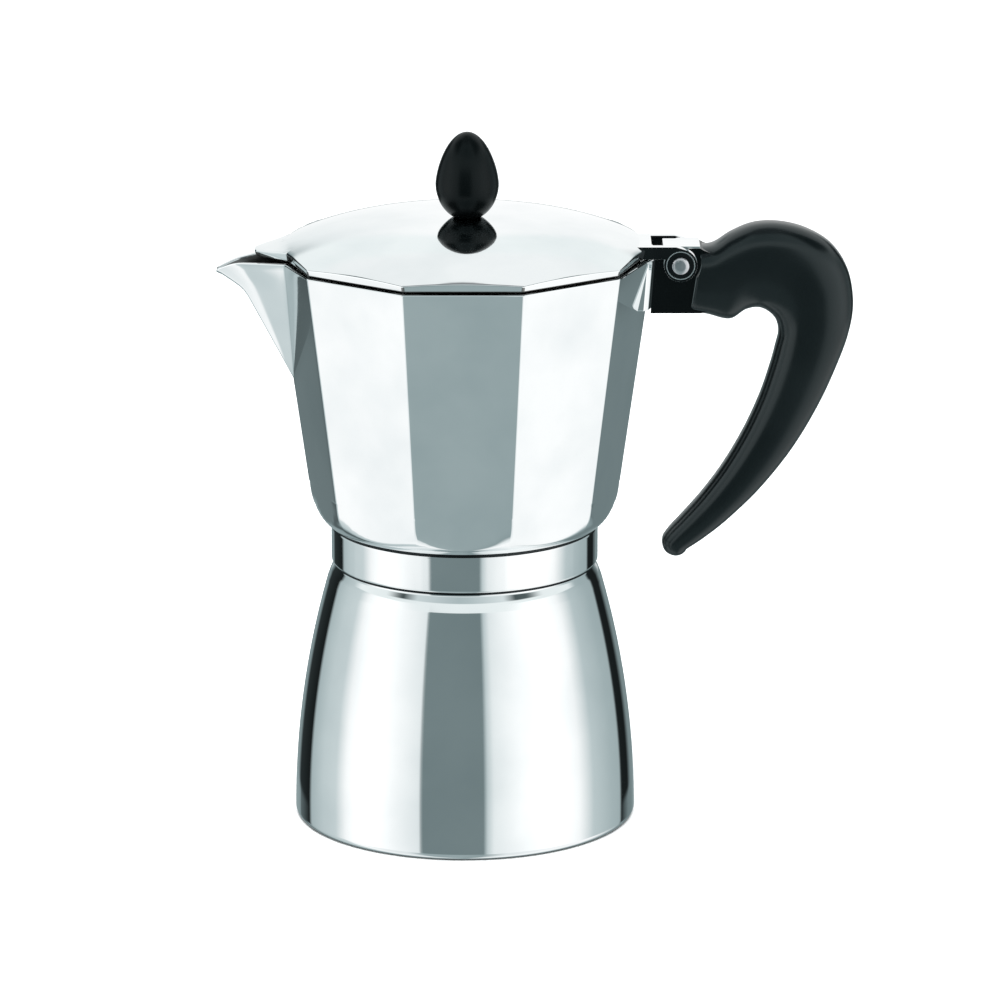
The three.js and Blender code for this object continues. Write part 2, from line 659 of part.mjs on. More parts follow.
function knob() {
  const steps = 6;
  const lower = Array.from({ length: steps }, (_, i) => {
    const z = KNOB_FOOT_Z + ((KNOB_WAIST_Z - KNOB_FOOT_Z) * i) / steps;
    return [KNOB_R * Math.sqrt(1 - ((KNOB_WAIST_Z - z) / KNOB_BELOW_WAIST) ** 2), z];
  });
  const upper = Array.from({ length: steps + 1 }, (_, i) => {
    const share = Math.sin((i / steps) * (Math.PI / 2));
    return [KNOB_R * Math.sqrt(1 - share ** 1.5), KNOB_WAIST_Z + share * KNOB_ABOVE_WAIST];
  });
  const egg = lathe([[0, KNOB_FOOT_Z], ...lower, ...upper], 24);
  return cutBy(egg, lathe(rod(3.4, 170, 189.5), 16));
}

const knobInsert = () => lathe(ring(PIN_BORE_R, 3.1, KNOB_FOOT_Z + GAP, 189), 16);

const WASHER_TOP_Z = LID_UNDERSIDE_Z - GAP;

const knobWasher = () => lathe(ring(PIN_BORE_R, 5, WASHER_TOP_Z - 0.8, WASHER_TOP_Z), 20);

function knobScrew() {
  const seat = WASHER_TOP_Z - 0.8 - GAP;
  const profile = [
    [0, seat - 2], [2.6, seat - 2], [3.6, seat - 1], [3.6, seat], [PIN_R, seat], [PIN_R, 187.5], [0, 187.5],
  ];
  const slot = box([-5, -0.4, seat - 4], [5, 0.4, seat - 1.1]);
  return cutBy(lathe(profile, 16), slot);
}

// ---- assembly ----

function assembly() {
  const pot = new THREE.Group();
  pot.add(
    meshOf('boiler', boiler(), polishedAluminium()),
    meshOf('valve_body', valveBody(), brass()),
    meshOf('valve_washer', valveWasher(), steel()),
    meshOf('valve_seat', valveSeat(), brass()),
    meshOf('valve_pin', valvePin(), brass()),
    meshOf('valve_spring', valveSpring(), steel()),
    meshOf('funnel', funnel(), stampedAluminium()),
    meshOf('funnel_screen', funnelScreen(), stampedAluminium()),
    meshOf('gasket', gasket(), whiteRubber()),
    meshOf('filter_plate', filterPlate(), stampedAluminium()),
    meshOf('riser_column', riserColumn(), stampedAluminium()),
    meshOf('collector', collector(), polishedAluminium()),
    meshOf('handle', handle(), blackPlastic()),
    meshOf('handle_insert', handleInsert(), brass()),
    meshOf('handle_screw', handleScrew(), steel()),
    meshOf('hinge_pin', hingePin(), steel()),
    meshOf('lid', lid(), polishedAluminium()),
  );
  const knobGroup = new THREE.Group();
  knobGroup.position.x = KNOB_X;
  knobGroup.add(
    meshOf('knob', knob(), blackPlastic()),
    meshOf('knob_insert', knobInsert(), brass()),
    meshOf('knob_washer', knobWasher(), steel()),
    meshOf('knob_screw', knobScrew(), steel()),
  );
  pot.add(knobGroup);
  return pot;
}

export default assembly();
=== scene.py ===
import math

import bmesh
import bpy
import numpy as np
from mathutils import Matrix, Vector


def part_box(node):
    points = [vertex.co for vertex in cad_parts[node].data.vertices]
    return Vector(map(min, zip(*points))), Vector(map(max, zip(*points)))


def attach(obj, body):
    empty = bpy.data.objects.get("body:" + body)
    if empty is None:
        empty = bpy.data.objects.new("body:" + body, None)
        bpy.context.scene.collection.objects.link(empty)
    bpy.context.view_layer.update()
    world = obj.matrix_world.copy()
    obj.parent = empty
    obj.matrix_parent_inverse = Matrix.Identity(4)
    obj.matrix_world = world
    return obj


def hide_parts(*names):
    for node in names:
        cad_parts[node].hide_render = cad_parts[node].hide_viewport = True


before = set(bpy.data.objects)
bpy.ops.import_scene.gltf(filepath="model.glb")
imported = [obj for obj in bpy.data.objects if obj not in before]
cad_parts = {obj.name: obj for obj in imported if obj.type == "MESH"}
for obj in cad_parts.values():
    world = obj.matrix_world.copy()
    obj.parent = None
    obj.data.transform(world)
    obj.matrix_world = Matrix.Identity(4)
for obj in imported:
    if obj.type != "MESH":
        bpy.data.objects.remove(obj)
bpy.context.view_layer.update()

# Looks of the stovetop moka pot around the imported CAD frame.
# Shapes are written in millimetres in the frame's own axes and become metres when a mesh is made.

MM = 0.001
scene = bpy.context.scene


def high_mm(node, axis):
    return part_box(node)[1][axis] / MM


def low_mm(node, axis):
    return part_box(node)[0][axis] / MM


# ---- dimensions of the frame that the detailed pieces share ----

WALL_ARC_R = 262
BASE_R = 50.1
BOILER_WALL = 2.6
NECK_R = 35
NECK_TOP_Z = high_mm("boiler", 2)
THREAD_START_Z, THREAD_LEAD, THREAD_TURNS = 79.4, 3, 2.25

HALF_SIDE = math.pi / 10
RIM_Z = 168
RIM_R = 54.9
WALL_LEAN = 0.1393
WALL = 2.1
BOSS_LEAN = 0.075
BOSS_PROUD = 1.7
BOSS_LOW_Z, BOSS_HIGH_Z = 152.8, 167.6
BOSS_SIDE_Y = 8.7
COLLAR_FOOT_Z = low_mm("collector", 2)

LID_FOOT_Z = 168.3
LID_APEX_Z = 179
LID_DOME = 0.0000548
LID_LANDING_R = 5.5
LID_SHELL = 1.7
PIN_X, PIN_Z = 62.3, 166.5
PIN_BORE_R = 1.75
EAR_R, EAR_SWING_R = 4.8, 6
EAR_INNER_Y, EAR_OUTER_Y = 6.3, 9
ARM_TOP_Z = 171.9
SLOT_X = 54
KNOB_X = 0.9
VALVE_Z = 45
HEX_Y = 49.6
SCREW_Z = 158.5


# ---- mesh helpers ----

def linked(name, data):
    obj = bpy.data.objects.new(name, data)
    scene.collection.objects.link(obj)
    return obj


def cleaned_object(name, mesh, merge):
    """An object of the mesh, with doubled points merged and every face turned outward."""
    bm = bmesh.new()
    bm.from_mesh(mesh)
    bmesh.ops.remove_doubles(bm, verts=bm.verts, dist=merge * MM)
    bmesh.ops.recalc_face_normals(bm, faces=bm.faces)
    bm.to_mesh(mesh)
    bm.free()
    return linked(name, mesh)


def as_object(name, points, faces):
    mesh = bpy.data.meshes.new(name)
    mesh.from_pydata((np.asarray(points, float) * MM).tolist(), [], faces)
    return cleaned_object(name, mesh, 0.004)


def skin(name, rows, looped=False):
    """Quads over rows of points; every row is a closed ring with the same number of points."""
    rows = np.asarray(rows, float)
    count, around = rows.shape[:2]
    faces = []
    for i in range(count if looped else count - 1):
        j = (i + 1) % count
        for k in range(around):
            n = (k + 1) % around
            faces.append((i * around + k, i * around + n, j * around + n, j * around + k))
    return as_object(name, rows.reshape(-1, 3), faces)


def bend(before, corner, after, reach, steps):
    """Points of a soft corner: a parabola that leaves both sides at most `reach` from the corner."""
    before, corner, after = (np.asarray(p, float) for p in (before, corner, after))
    to_before, to_after = before - corner, after - corner
    lengths = np.linalg.norm(to_before), np.linalg.norm(to_after)
    if reach <= 0 or min(lengths) < 1e-6:
        return [corner] * (steps + 1)
    short = min(reach, 0.45 * lengths[0], 0.45 * lengths[1])
    a = corner + to_before / lengths[0] * short
    b = corner + to_after / lengths[1] * short
    return [(1 - t) ** 2 * a + 2 * t * (1 - t) * corner + t * t * b for t in np.linspace(0, 1, steps + 1)]


def softened(profile, looped=False, steps=3):
    """A profile of (radius, height) or (radius, height, reach of its soft corner) points."""
    places = [np.array(p[:2], float) for p in profile]
    soft = []
    for i, point in enumerate(profile):
        reach = point[2] if len(point) > 2 else 0
        inside = looped or 0 < i < len(profile) - 1
        if reach and inside:
            soft += bend(places[i - 1], places[i], places[(i + 1) % len(places)], reach, steps)
        else:
            soft.append(places[i])
    return soft


AXES = {
    "Z": lambda r, h, c, s: (r * c, r * s, h),
    "Y": lambda r, h, c, s: (r * c, h, r * s),
    "X": lambda r, h, c, s: (h, r * c, r * s),
}


def turned(name, profile, centre=(0, 0, 0), axis="Z", segments=96, looped=False, steps=3):
    angles = np.linspace(0, 2 * math.pi, segments, endpoint=False)
    place = AXES[axis]
    rows = [[place(r, h, math.cos(a), math.sin(a)) for a in angles] for r, h in softened(profile, looped, steps)]
    return skin(name, np.asarray(rows) + np.asarray(centre, float), looped)


def evaluated_mesh(obj):
    depsgraph = bpy.context.evaluated_depsgraph_get()
    return bpy.data.meshes.new_from_object(obj.evaluated_get(depsgraph))


def baked(obj):
    """The object with its modifiers applied to its mesh."""
    mesh = evaluated_mesh(obj)
    obj.modifiers.clear()
    obj.data = mesh
    return obj


def combined(obj, other, operation):
    modifier = obj.modifiers.new("combine", "BOOLEAN")
    modifier.operation = operation
    modifier.solver = "EXACT"
    modifier.object = other
    baked(obj)
    bpy.data.objects.remove(other)
    return obj


def prism(name, outline, low, high, axis):
    """A closed outline pushed straight from low to high: outline points are (x, z) for axis Y and (x, y) for Z."""
    place = (lambda a, b, h: (a, h, b)) if axis == "Y" else (lambda a, b, h: (a, b, h))
    count = len(outline)
    points = [place(a, b, low) for a, b in outline] + [place(a, b, high) for a, b in outline]
    faces = [tuple(range(count)), tuple(range(2 * count - 1, count - 1, -1))]
    faces += [(i, (i + 1) % count, count + (i + 1) % count, count + i) for i in range(count)]
    return as_object(name, points, faces)


def block(name, low, high):
    outline = [(low[0], low[1]), (high[0], low[1]), (high[0], high[1]), (low[0], high[1])]
    return prism(name, outline, low[2], high[2], "Z")


def edged(obj, width, segments=3, angle=32):
    """Rounds the object's sharp edges."""
    modifier = obj.modifiers.new("edges", "BEVEL")
    modifier.width = width * MM
    modifier.segments = segments
    modifier.limit_method = "ANGLE"
    modifier.angle_limit = math.radians(angle)
    modifier.harden_normals = False
    return baked(obj)


def arc(centre_a, centre_b, radius, start, end, steps):
    angles = np.radians(np.linspace(start, end, steps + 1))
    return [(centre_a + radius * math.cos(t), centre_b + radius * math.sin(t)) for t in angles]


def circle(a, b, radius, count):
    return arc(a, b, radius, 0, 360, count)[:-1]


def filled_curve(name, loops, thickness):
    """A flat curve through closed loops, filled between them."""
    curve = bpy.data.curves.new(name, "CURVE")
    curve.dimensions = "2D"
    curve.fill_mode = "BOTH"
    curve.extrude = thickness / 2 * MM
    for loop in loops:
        spline = curve.splines.new("POLY")
        spline.points.add(len(loop) - 1)
        for point, (x, y) in zip(spline.points, loop):
            point.co = (x * MM, y * MM, 0, 1)
        spline.use_cyclic_u = True
    return linked(name + "_curve", curve)


def perforated(name, radius, low, thickness, hole_r, ring_step, rings):
    """A flat disc with rings of small round holes."""
    loops = [circle(0, 0, radius, 96), circle(0, 0, hole_r, 10)]
    for ring in range(1, rings + 1):
        loops += [circle(x, y, hole_r, 10) for x, y in circle(0, 0, ring * ring_step, 6 * ring)]
    source = filled_curve(name, loops, thickness)
    mesh = evaluated_mesh(source)
    bpy.data.objects.remove(source)
    mesh.transform(Matrix.Translation((0, 0, (low + thickness / 2) * MM)))
    return cleaned_object(name, mesh, 0.002)


def helix_height(angle, z):
    """Height above the nearest turn of the thread's helix, and how far in from the thread's two ends."""
    share = angle / (2 * math.pi) % 1
    turn = round((z - THREAD_START_Z) / THREAD_LEAD - share)
    along = turn + share
    ends = min(max(min(along, THREAD_TURNS - along) / 0.12, 0), 1)
    return z - THREAD_START_Z - THREAD_LEAD * along, ends


def thread_ridge(angle, z, depth, root=1.1, crest=0.4):
    height, ends = helix_height(angle, z)
    return depth * ends * min(max((root - abs(height)) / (root - crest), 0), 1)


def placed(obj, body, slot, material, *nodes, sharp=38, weighted=True):
    """Gives a piece its finish, its body and the CAD nodes that it stands for."""
    mesh = obj.data
    mesh.materials.clear()
    mesh.materials.append(material)
    mesh.shade_smooth()
    mesh.set_sharp_from_angle(angle=math.radians(sharp))
    if weighted:
        modifier = obj.modifiers.new("even_shading", "WEIGHTED_NORMAL")
        modifier.keep_sharp = True
    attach(obj, body)
    if nodes:
        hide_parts(*nodes)
    return obj


def cad_finish(node, material):
    """Gives a CAD piece that is shown as it is its material."""
    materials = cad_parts[node].data.materials
    materials.clear()
    materials.append(material)


def second_finish(obj, material, chosen):
    """Gives the chosen faces of a piece another finish."""
    obj.data.materials.append(material)
    for face in obj.data.polygons:
        if chosen(face):
            face.material_index = 1


# ---- materials ----

class Finish:
    """A node material on the object's own coordinates, which move with the piece."""

    def __init__(self, name, color, metallic, roughness):
        self.material = bpy.data.materials.new(name)
        self.material.use_nodes = True
        self.nodes = self.material.node_tree.nodes
        self.links = self.material.node_tree.links
        self.shader = self.nodes["Principled BSDF"]
        self.shader.inputs["Base Color"].default_value = (*color, 1)
        self.shader.inputs["Metallic"].default_value = metallic
        self.shader.inputs["Roughness"].default_value = roughness
        self.coords = self.nodes.new("ShaderNodeTexCoord").outputs["Object"]

    def noise(self, scale, detail=3.0, stretch=(1, 1, 1)):
        mapping = self.nodes.new("ShaderNodeMapping")
        mapping.inputs["Scale"].default_value = stretch
        self.links.new(self.coords, mapping.inputs["Vector"])
        noise = self.nodes.new("ShaderNodeTexNoise")
        noise.inputs["Scale"].default_value = scale
        noise.inputs["Detail"].default_value = detail
        self.links.new(mapping.outputs["Vector"], noise.inputs["Vector"])
        return noise.outputs["Fac"]

    def ranged(self, value, low, high, from_low=0.3, from_high=0.7):
        node = self.nodes.new("ShaderNodeMapRange")
        node.inputs["From Min"].default_value = from_low
        node.inputs["From Max"].default_value = from_high
        node.inputs["To Min"].default_value = low
        node.inputs["To Max"].default_value = high
        self.links.new(value, node.inputs["Value"])
        return node.outputs["Result"]

    def total(self, first, second, operation="ADD"):
        node = self.nodes.new("ShaderNodeMath")
        node.operation = operation
        self.links.new(first, node.inputs[0])
        self.links.new(second, node.inputs[1])
        return node.outputs["Value"]

    def tints(self, value, stops):
        ramp = self.nodes.new("ShaderNodeValToRGB")
        elements = ramp.color_ramp.elements
        while len(elements) < len(stops):
            elements.new(0.5)
        for element, (position, color) in zip(elements, stops):
            element.position = position
            element.color = (*color, 1)
        self.links.new(value, ramp.inputs["Fac"])
        self.links.new(ramp.outputs["Color"], self.shader.inputs["Base Color"])

    def rough(self, value):
        self.links.new(value, self.shader.inputs["Roughness"])

    def bumps(self, *layers):
        """Each layer is (height, strength, depth in millimetres)."""
        normal = None
        for height, strength, depth in layers:
            bump = self.nodes.new("ShaderNodeBump")
            bump.inputs["Strength"].default_value = strength
            bump.inputs["Distance"].default_value = depth * MM
            self.links.new(height, bump.inputs["Height"])
            if normal is not None:
                self.links.new(normal, bump.inputs["Normal"])
            normal = bump.outputs["Normal"]
        self.links.new(normal, self.shader.inputs["Normal"])


def metal_finish(name, dark, light, roughness, grain, grain_depth, wave_depth, wear=0.05):
    """A metal with a drawn grain, slow ripples and rubbed patches."""
    finish = Finish(name, light, 1.0, roughness[0])
    lines = finish.noise(1.0, 4.0, grain)
    patches = finish.noise(38, 3.0)
    speckle = finish.noise(900, 2.0)
    ripples = finish.noise(16, 1.5)
    finish.tints(patches, [(0.3, dark), (0.62, light)])
    rubbed = finish.ranged(patches, roughness[0], roughness[1])
    finish.rough(finish.total(rubbed, finish.ranged(speckle, 0, wear, 0.52, 0.7)))
    finish.bumps((ripples, 0.5, wave_depth), (lines, 0.35, grain_depth), (speckle, 0.12, grain_depth))
    return finish.material


def plastic_finish(name, dark, light, roughness, sheen):
    """Moulded black plastic: a fine even grain with slightly rubbed patches."""
    finish = Finish(name, light, 0.0, roughness[0])
    finish.shader.inputs["Specular IOR Level"].default_value = sheen
    finish.shader.inputs["Specular Tint"].default_value = (0.80, 0.97, 1.0, 1)
    patches = finish.noise(45, 3.0)
    grain = finish.noise(2600, 2.0)
    finish.tints(patches, [(0.35, dark), (0.65, light)])
    finish.rough(finish.ranged(patches, *roughness))
    finish.bumps((finish.noise(60, 2.0), 0.25, 0.05), (grain, 0.25, 0.02))
    return finish.material


def rubber_finish(name):
    finish = Finish(name, (0.72, 0.70, 0.64), 0.0, 0.6)
    patches = finish.noise(120, 4.0)
    finish.tints(patches, [(0.35, (0.60, 0.57, 0.50)), (0.6, (0.76, 0.74, 0.68))])
    finish.rough(finish.ranged(patches, 0.5, 0.72))
    finish.bumps((finish.noise(1500, 3.0), 0.3, 0.03))
    return finish.material


POLISHED = metal_finish("polished_aluminium", (0.80, 0.84, 0.85), (0.90, 0.925, 0.93),
                        (0.03, 0.05), (60, 60, 1400), 0.0008, 0.005, 0.02)
SPUN = metal_finish("spun_aluminium", (0.80, 0.84, 0.85), (0.89, 0.92, 0.925),
                    (0.02, 0.04), (25, 25, 2600), 0.0008, 0.010, 0.02)
STAMPED = metal_finish("stamped_aluminium", (0.60, 0.62, 0.63), (0.74, 0.76, 0.77),
                       (0.24, 0.36), (30, 30, 1800), 0.006, 0.02, 0.06)
CAST = metal_finish("cast_aluminium", (0.50, 0.52, 0.53), (0.64, 0.66, 0.67),
                    (0.38, 0.52), (700, 700, 700), 0.03, 0.03, 0.08)
BRASS = metal_finish("brass", (0.56, 0.38, 0.13), (0.80, 0.60, 0.27),
                     (0.20, 0.34), (900, 60, 900), 0.004, 0.02, 0.06)
STEEL = metal_finish("steel", (0.48, 0.49, 0.51), (0.66, 0.67, 0.69),
                     (0.16, 0.28), (900, 60, 900), 0.004, 0.02, 0.06)
HANDLE_PLASTIC = plastic_finish("handle_plastic", (0.0008, 0.0016, 0.0019), (0.0018, 0.0030, 0.0034),
                                (0.20, 0.26), 0.52)
# The knob's plastic; the handle's nose also takes it as painted shade, a darker copy of the handle plastic.
KNOB_AND_SHADED_NOSE_PLASTIC = plastic_finish("knob_plastic", (0.0006, 0.0012, 0.0013), (0.0014, 0.0022, 0.0024),
                              (0.22, 0.28), 0.17)
RUBBER = rubber_finish("seal_rubber")
SEASONED = metal_finish("seasoned_aluminium", (0.15, 0.155, 0.155), (0.25, 0.255, 0.25),
                        (0.34, 0.46), (60, 60, 700), 0.006, 0.02, 0.06)
# Painted shade: a near-black aluminium for the boiler's bottom edge, the rings under and above the collar and the
# hinge ears' flat faces, standing in for the shade and dark reflections there.
SHADOWED = metal_finish("painted_shade_aluminium", (0.012, 0.016, 0.018), (0.03, 0.035, 0.037),
                        (0.20, 0.30), (60, 60, 700), 0.003, 0.01, 0.05)


# ---- boiler ----

def boiler_radius(z):
    return BASE_R - WALL_ARC_R + math.sqrt(WALL_ARC_R ** 2 - z * z)


def boiler_profile():
    """The boiler's section: foot, outer wall, shoulder, neck, and back down the inside."""
    profile = [(0, 0), (29, 0), (29.4, 0.5, 0.3), (30.6, 0.5, 0.3), (31, 0, 0.3), (48, 0, 1.0)]
    profile += arc(48.4, 1.7, 1.7, -80, -8, 5)
    profile += [(boiler_radius(z), z) for z in (1.9, 2.4, *np.linspace(3.6, 71.0, 36))]
    profile += [(boiler_radius(71.4), 71.4, 0.35), (39.2, 74.0, 0.6), (38.0, 75.9, 0.3), (37.9, 76.7, 0.2)]
    profile += [(NECK_R, 76.7, 0.4)]
    profile += [(NECK_R, z) for z in np.arange(77.6, 89.0, 0.22)]
    profile += [(NECK_R, NECK_TOP_Z, 0.5), (32.3, NECK_TOP_Z, 0.4), (32.3, 78, 1.5)]
    profile += [(boiler_radius(z) - BOILER_WALL, z) for z in np.linspace(71, 10, 20)]
    profile += arc(40.4, 9.7, 6.5, -6, -88, 8) + [(0, 3.2)]
    return softened(profile)


def boiler():
    angles = np.linspace(0, 2 * math.pi, 180, endpoint=False)
    rows = []
    for r, z in boiler_profile():
        threaded = abs(r - NECK_R) < 0.01 and 77.5 < z < 89.1
        radii = [r + (thread_ridge(a, z, 1.0) if threaded else 0) for a in angles]
        rows.append([(radius * math.cos(a), radius * math.sin(a), z) for radius, a in zip(radii, angles)])
    shell = placed(skin("boiler_shell", rows), "boiler", "polished_aluminium", SPUN, "boiler")
    # Painted shade: the downward faces at the foot's outer edge take the near-black finish for the contact shadow
    # there.
    second_finish(shell, SHADOWED, lambda face: 0 < face.center.z < 0.5 * MM and face.normal.z < -0.2)
    profile = [(0, 43), (9.6, 43), (9.4, 45.6), (8.6, 46.6, 0.5), (8.5, 48.2, 0.5), (0, 48.2)]
    boss = turned("boiler_valve_boss", profile, (0, 0, VALVE_Z), "Y", 64)
    placed(boss, "boiler", "polished_aluminium", SPUN)
    # Painted shadow: a near-black ring just under the collar's foot stands for the collar's shadow on the shoulder.
    painted_shade_ring = [(37.4, 76.3), (38.45, 76.3, 0.1), (38.45, 76.9, 0.1), (37.4, 76.9)]
    placed(turned("shoulder_painted_shadow_ring", painted_shade_ring, segments=128, looped=True), "boiler", "polished_aluminium", SHADOWED)


# ---- safety valve ----

def on_valve_axis(name, profile, segments, looped=False):
    return turned(name, profile, (0, 0, VALVE_Z), "Y", segments, looped)


def valve_hexagon():
    low, high = HEX_Y, HEX_Y + 4
    corners = [(8.1 * math.cos(a), VALVE_Z + 8.1 * math.sin(a)) for a in np.radians(np.arange(0, 360, 60))]
    nut = prism("valve_hexagon", corners, low, high, "Y")
    profile = [(0, low - 1), (9.2, low - 1), (9.2, low + 1), (8.3, low + 3.1), (7.1, high), (0, high)]
    dome = on_valve_axis("valve_hexagon_dome", profile, 64)
    return edged(combined(nut, dome, "INTERSECT"), 0.15, 2, 25)


def safety_valve():
    profile = [(1.7, 40.6), (3.5, 40.6), (5, 40.6, 0.3), (5, 49.7), (1.7, 49.7)]
    shank = on_valve_axis("valve_shank", profile, 40, True)
    placed(shank, "boiler", "brass_valve", BRASS, "valve_body")
    placed(valve_hexagon(), "boiler", "brass_valve", BRASS)
    profile = [(1.6, HEX_Y + 3.5), (4.6, HEX_Y + 3.5), (4.6, 54.9, 0.4), (4, 55.5, 0.4), (1.6, 55.5, 0.2)]
    placed(on_valve_axis("valve_nose", profile, 48, True), "boiler", "brass_valve", BRASS)
    profile = [(5.3, 48.5, 0.2), (7.4, 48.5, 0.2), (7.4, 49.3, 0.2), (5.3, 49.3, 0.2)]
    washer = on_valve_axis("valve_sealing_washer", profile, 48, True)
    placed(washer, "boiler", "steel_fixing", STEEL, "valve_washer")
    profile = [(0, 42.7), (2.9, 42.7, 0.2), (2.9, 43.9, 0.2), (1.3, 43.9), (1.3, 55.8), (2.1, 55.8, 0.2),
               (2.1, 56.8, 0.3), (1.4, 57.3, 0.3), (0, 57.3)]
    rod = on_valve_axis("valve_plunger_rod", profile, 32)
    placed(rod, "valve_plunger", "brass_valve", BRASS, "valve_pin")
    cad_finish("valve_seat", BRASS)
    cad_finish("valve_spring", STEEL)


# ---- funnel and seal ----

def funnel():
    rim = low_mm("gasket", 2) - 1.1
    profile = [
        (34.6, rim, 0.3), (34.6, rim + 0.8, 0.3), (30.4, rim + 0.8, 0.5), (30.4, 72.5, 1.2), (28.2, 72.2, 0.8),
        (3.8, 58, 2.0), (3.8, 6, 0.2), (4.8, 6, 0.2), (4.8, 57.4, 2.0), (28.8, 71.4, 0.8), (31.3, 71.6, 1.2),
        (31.3, rim, 0.4),
    ]
    body = turned("funnel_body", profile, segments=128, looped=True, steps=4)
    combined(body, block("funnel_notch", (-10, -1.2, 0), (10, 1.2, 9)), "DIFFERENCE")
    placed(body, "funnel", "stamped_aluminium", STAMPED, "funnel")
    screen = perforated("funnel_sieve", 30.1, 72.8, 0.8, 0.6, 3.6, 7)
    placed(screen, "funnel", "stamped_aluminium", STAMPED, "funnel_screen", weighted=False)


def seal():
    z = low_mm("gasket", 2)
    profile = [(25.2, z, 0.3), (34, z, 0.5), (34, z + 2.6, 0.5), (28, z + 2.6, 0.2), (28, z + 1.5, 0.2),
               (25.2, z + 1.5, 0.3)]
    placed(turned("gasket_ring", profile, segments=128, looped=True), "seal", "seal_rubber", RUBBER, "gasket")
    disc = perforated("filter_disc", 27.7, low_mm("filter_plate", 2), 0.8, 0.55, 3.3, 7)
    placed(disc, "seal", "stamped_aluminium", STAMPED, "filter_plate", weighted=False)


def riser_column():
    foot = low_mm("riser_column", 2)
    profile = [(0, 147), (3.4, 145.6, 0.5), (3.6, 110, 3), (8.2, 101.5, 2), (8.2, foot, 0.3), (14, foot, 0.3),
               (14, foot + 1.2, 0.4), (7.4, 107, 3), (6.2, 113, 4), (5.7, 145.5)]
    profile += arc(0, 145.5, 5.15, 12, 90, 8)
    column = turned("column_tube", profile, segments=64, steps=5)
    combined(column, block("column_slot", (-1.4, -10, 139.5), (1.4, 10, 145)), "DIFFERENCE")
    placed(column, "column", "cast_column", CAST, "riser_column")


# ---- collector ----

# A half outline of the chamber runs from the handle's corner to the spout: points on each side, and the reach of each
# soft corner.
SIDE_STEPS = (3, 9, 12, 12, 12, 10, 9, 5, 2)
CORNER_STEPS = 4
CORNER_REACH = 0.45
REACHES = (CORNER_REACH, 0.3, CORNER_REACH, CORNER_REACH, CORNER_REACH, CORNER_REACH, 0.5, 3.0, 0.7, 0.9)
SPOUT_YS = (1.0, 0.66, 0.33, 0)
CREASE_SLOPE = 0.745
BOWL_ARC_Z, BOWL_ARC_CENTRE_R = 100, 30.8
FLOOR_Z = 98
COLLAR_R, COLLAR_BORE_R = 39, 36.4


def chamber_r(z):
    return RIM_R - WALL_LEAN * (RIM_Z - z)


def corner(index, z, inset=0.0):
    radius = chamber_r(z) - inset / math.cos(HALF_SIDE)
    angle = 2 * HALF_SIDE * index
    return np.array([radius * math.cos(angle), radius * math.sin(angle), z])


def beside_corner(side, y, z, inset=0.0):
    """A point on the face next to the corner at +X (side 1) or -X (side -1)."""
    x = chamber_r(z) - inset / math.cos(HALF_SIDE) - y * math.tan(HALF_SIDE)
    return np.array([side * x, y, z])


def ring_of(half, reaches, side_steps=SIDE_STEPS):
    """A closed ring through a half outline from +X to -X and its mirror image, with soft corners."""
    half = [np.asarray(p, float) for p in half]
    mirrored = [p * (1, -1, 1) for p in half[-2:0:-1]]
    outline = half + mirrored
    all_reaches = list(reaches) + list(reaches[-2:0:-1])
    steps = list(side_steps) + list(side_steps[::-1])
    count = len(outline)
    curves = [bend(outline[i - 1], outline[i], outline[(i + 1) % count], all_reaches[i], CORNER_STEPS)
              for i in range(count)]
    ring = []
    for i in range(count):
        ring += curves[i]
        start, end = curves[i][-1], curves[(i + 1) % count][0]
        ring += [start + (end - start) * s / steps[i] for s in range(1, steps[i])]
    return np.array(ring)


def plain_half(z, inset=0.0):
    half = [corner(0, z, inset), beside_corner(1, BOSS_SIDE_Y, z, inset)]
    half += [corner(i, z, inset) for i in (1, 2, 3, 4)]
    return half + [beside_corner(-1, y, z, inset) for y in SPOUT_YS]


def crease_half(apex_z, inset=0.0):
    """The line from which the walls flare out: low in the middle of the spout, high round the chamber."""
    half = [corner(0, BOSS_LOW_Z, inset), beside_corner(1, BOSS_SIDE_Y, BOSS_LOW_Z, inset)]
    half += [corner(i, z, inset) for i, z in ((1, 161.4), (2, 159), (3, 157), (4, 155))]
    return half + [beside_corner(-1, y, apex_z + CREASE_SLOPE * y, inset) for y in SPOUT_YS]


def proud(point, side, distance):
    return point + np.array([side * distance, 0, 0])


def outer_top():
    half = [proud(corner(0, RIM_Z), 1, 1.2), proud(beside_corner(1, BOSS_SIDE_Y, RIM_Z), 1, 1.2)]
    half += [corner(i, RIM_Z) for i in (1, 2, 3, 4)]
    root = proud(beside_corner(-1, 14.2, RIM_Z), -1, 1.2)
    return half + [root, np.array([-66.5, 3.7, 166.2]), np.array([-71.8, 1.5, 163.7]), np.array([-71.3, 0, 162.6])]


def inner_top():
    half = [corner(0, RIM_Z, WALL), beside_corner(1, BOSS_SIDE_Y, RIM_Z, WALL)]
    half += [corner(i, RIM_Z, WALL) for i in (1, 2, 3, 4)]
    return half + [np.array([-50.3, 12.6, RIM_Z]), np.array([-65.5, 2.6, 166.1]), np.array([-71.1, 0.75, 163.8]),
                   np.array([-70.9, 0, 163.6])]


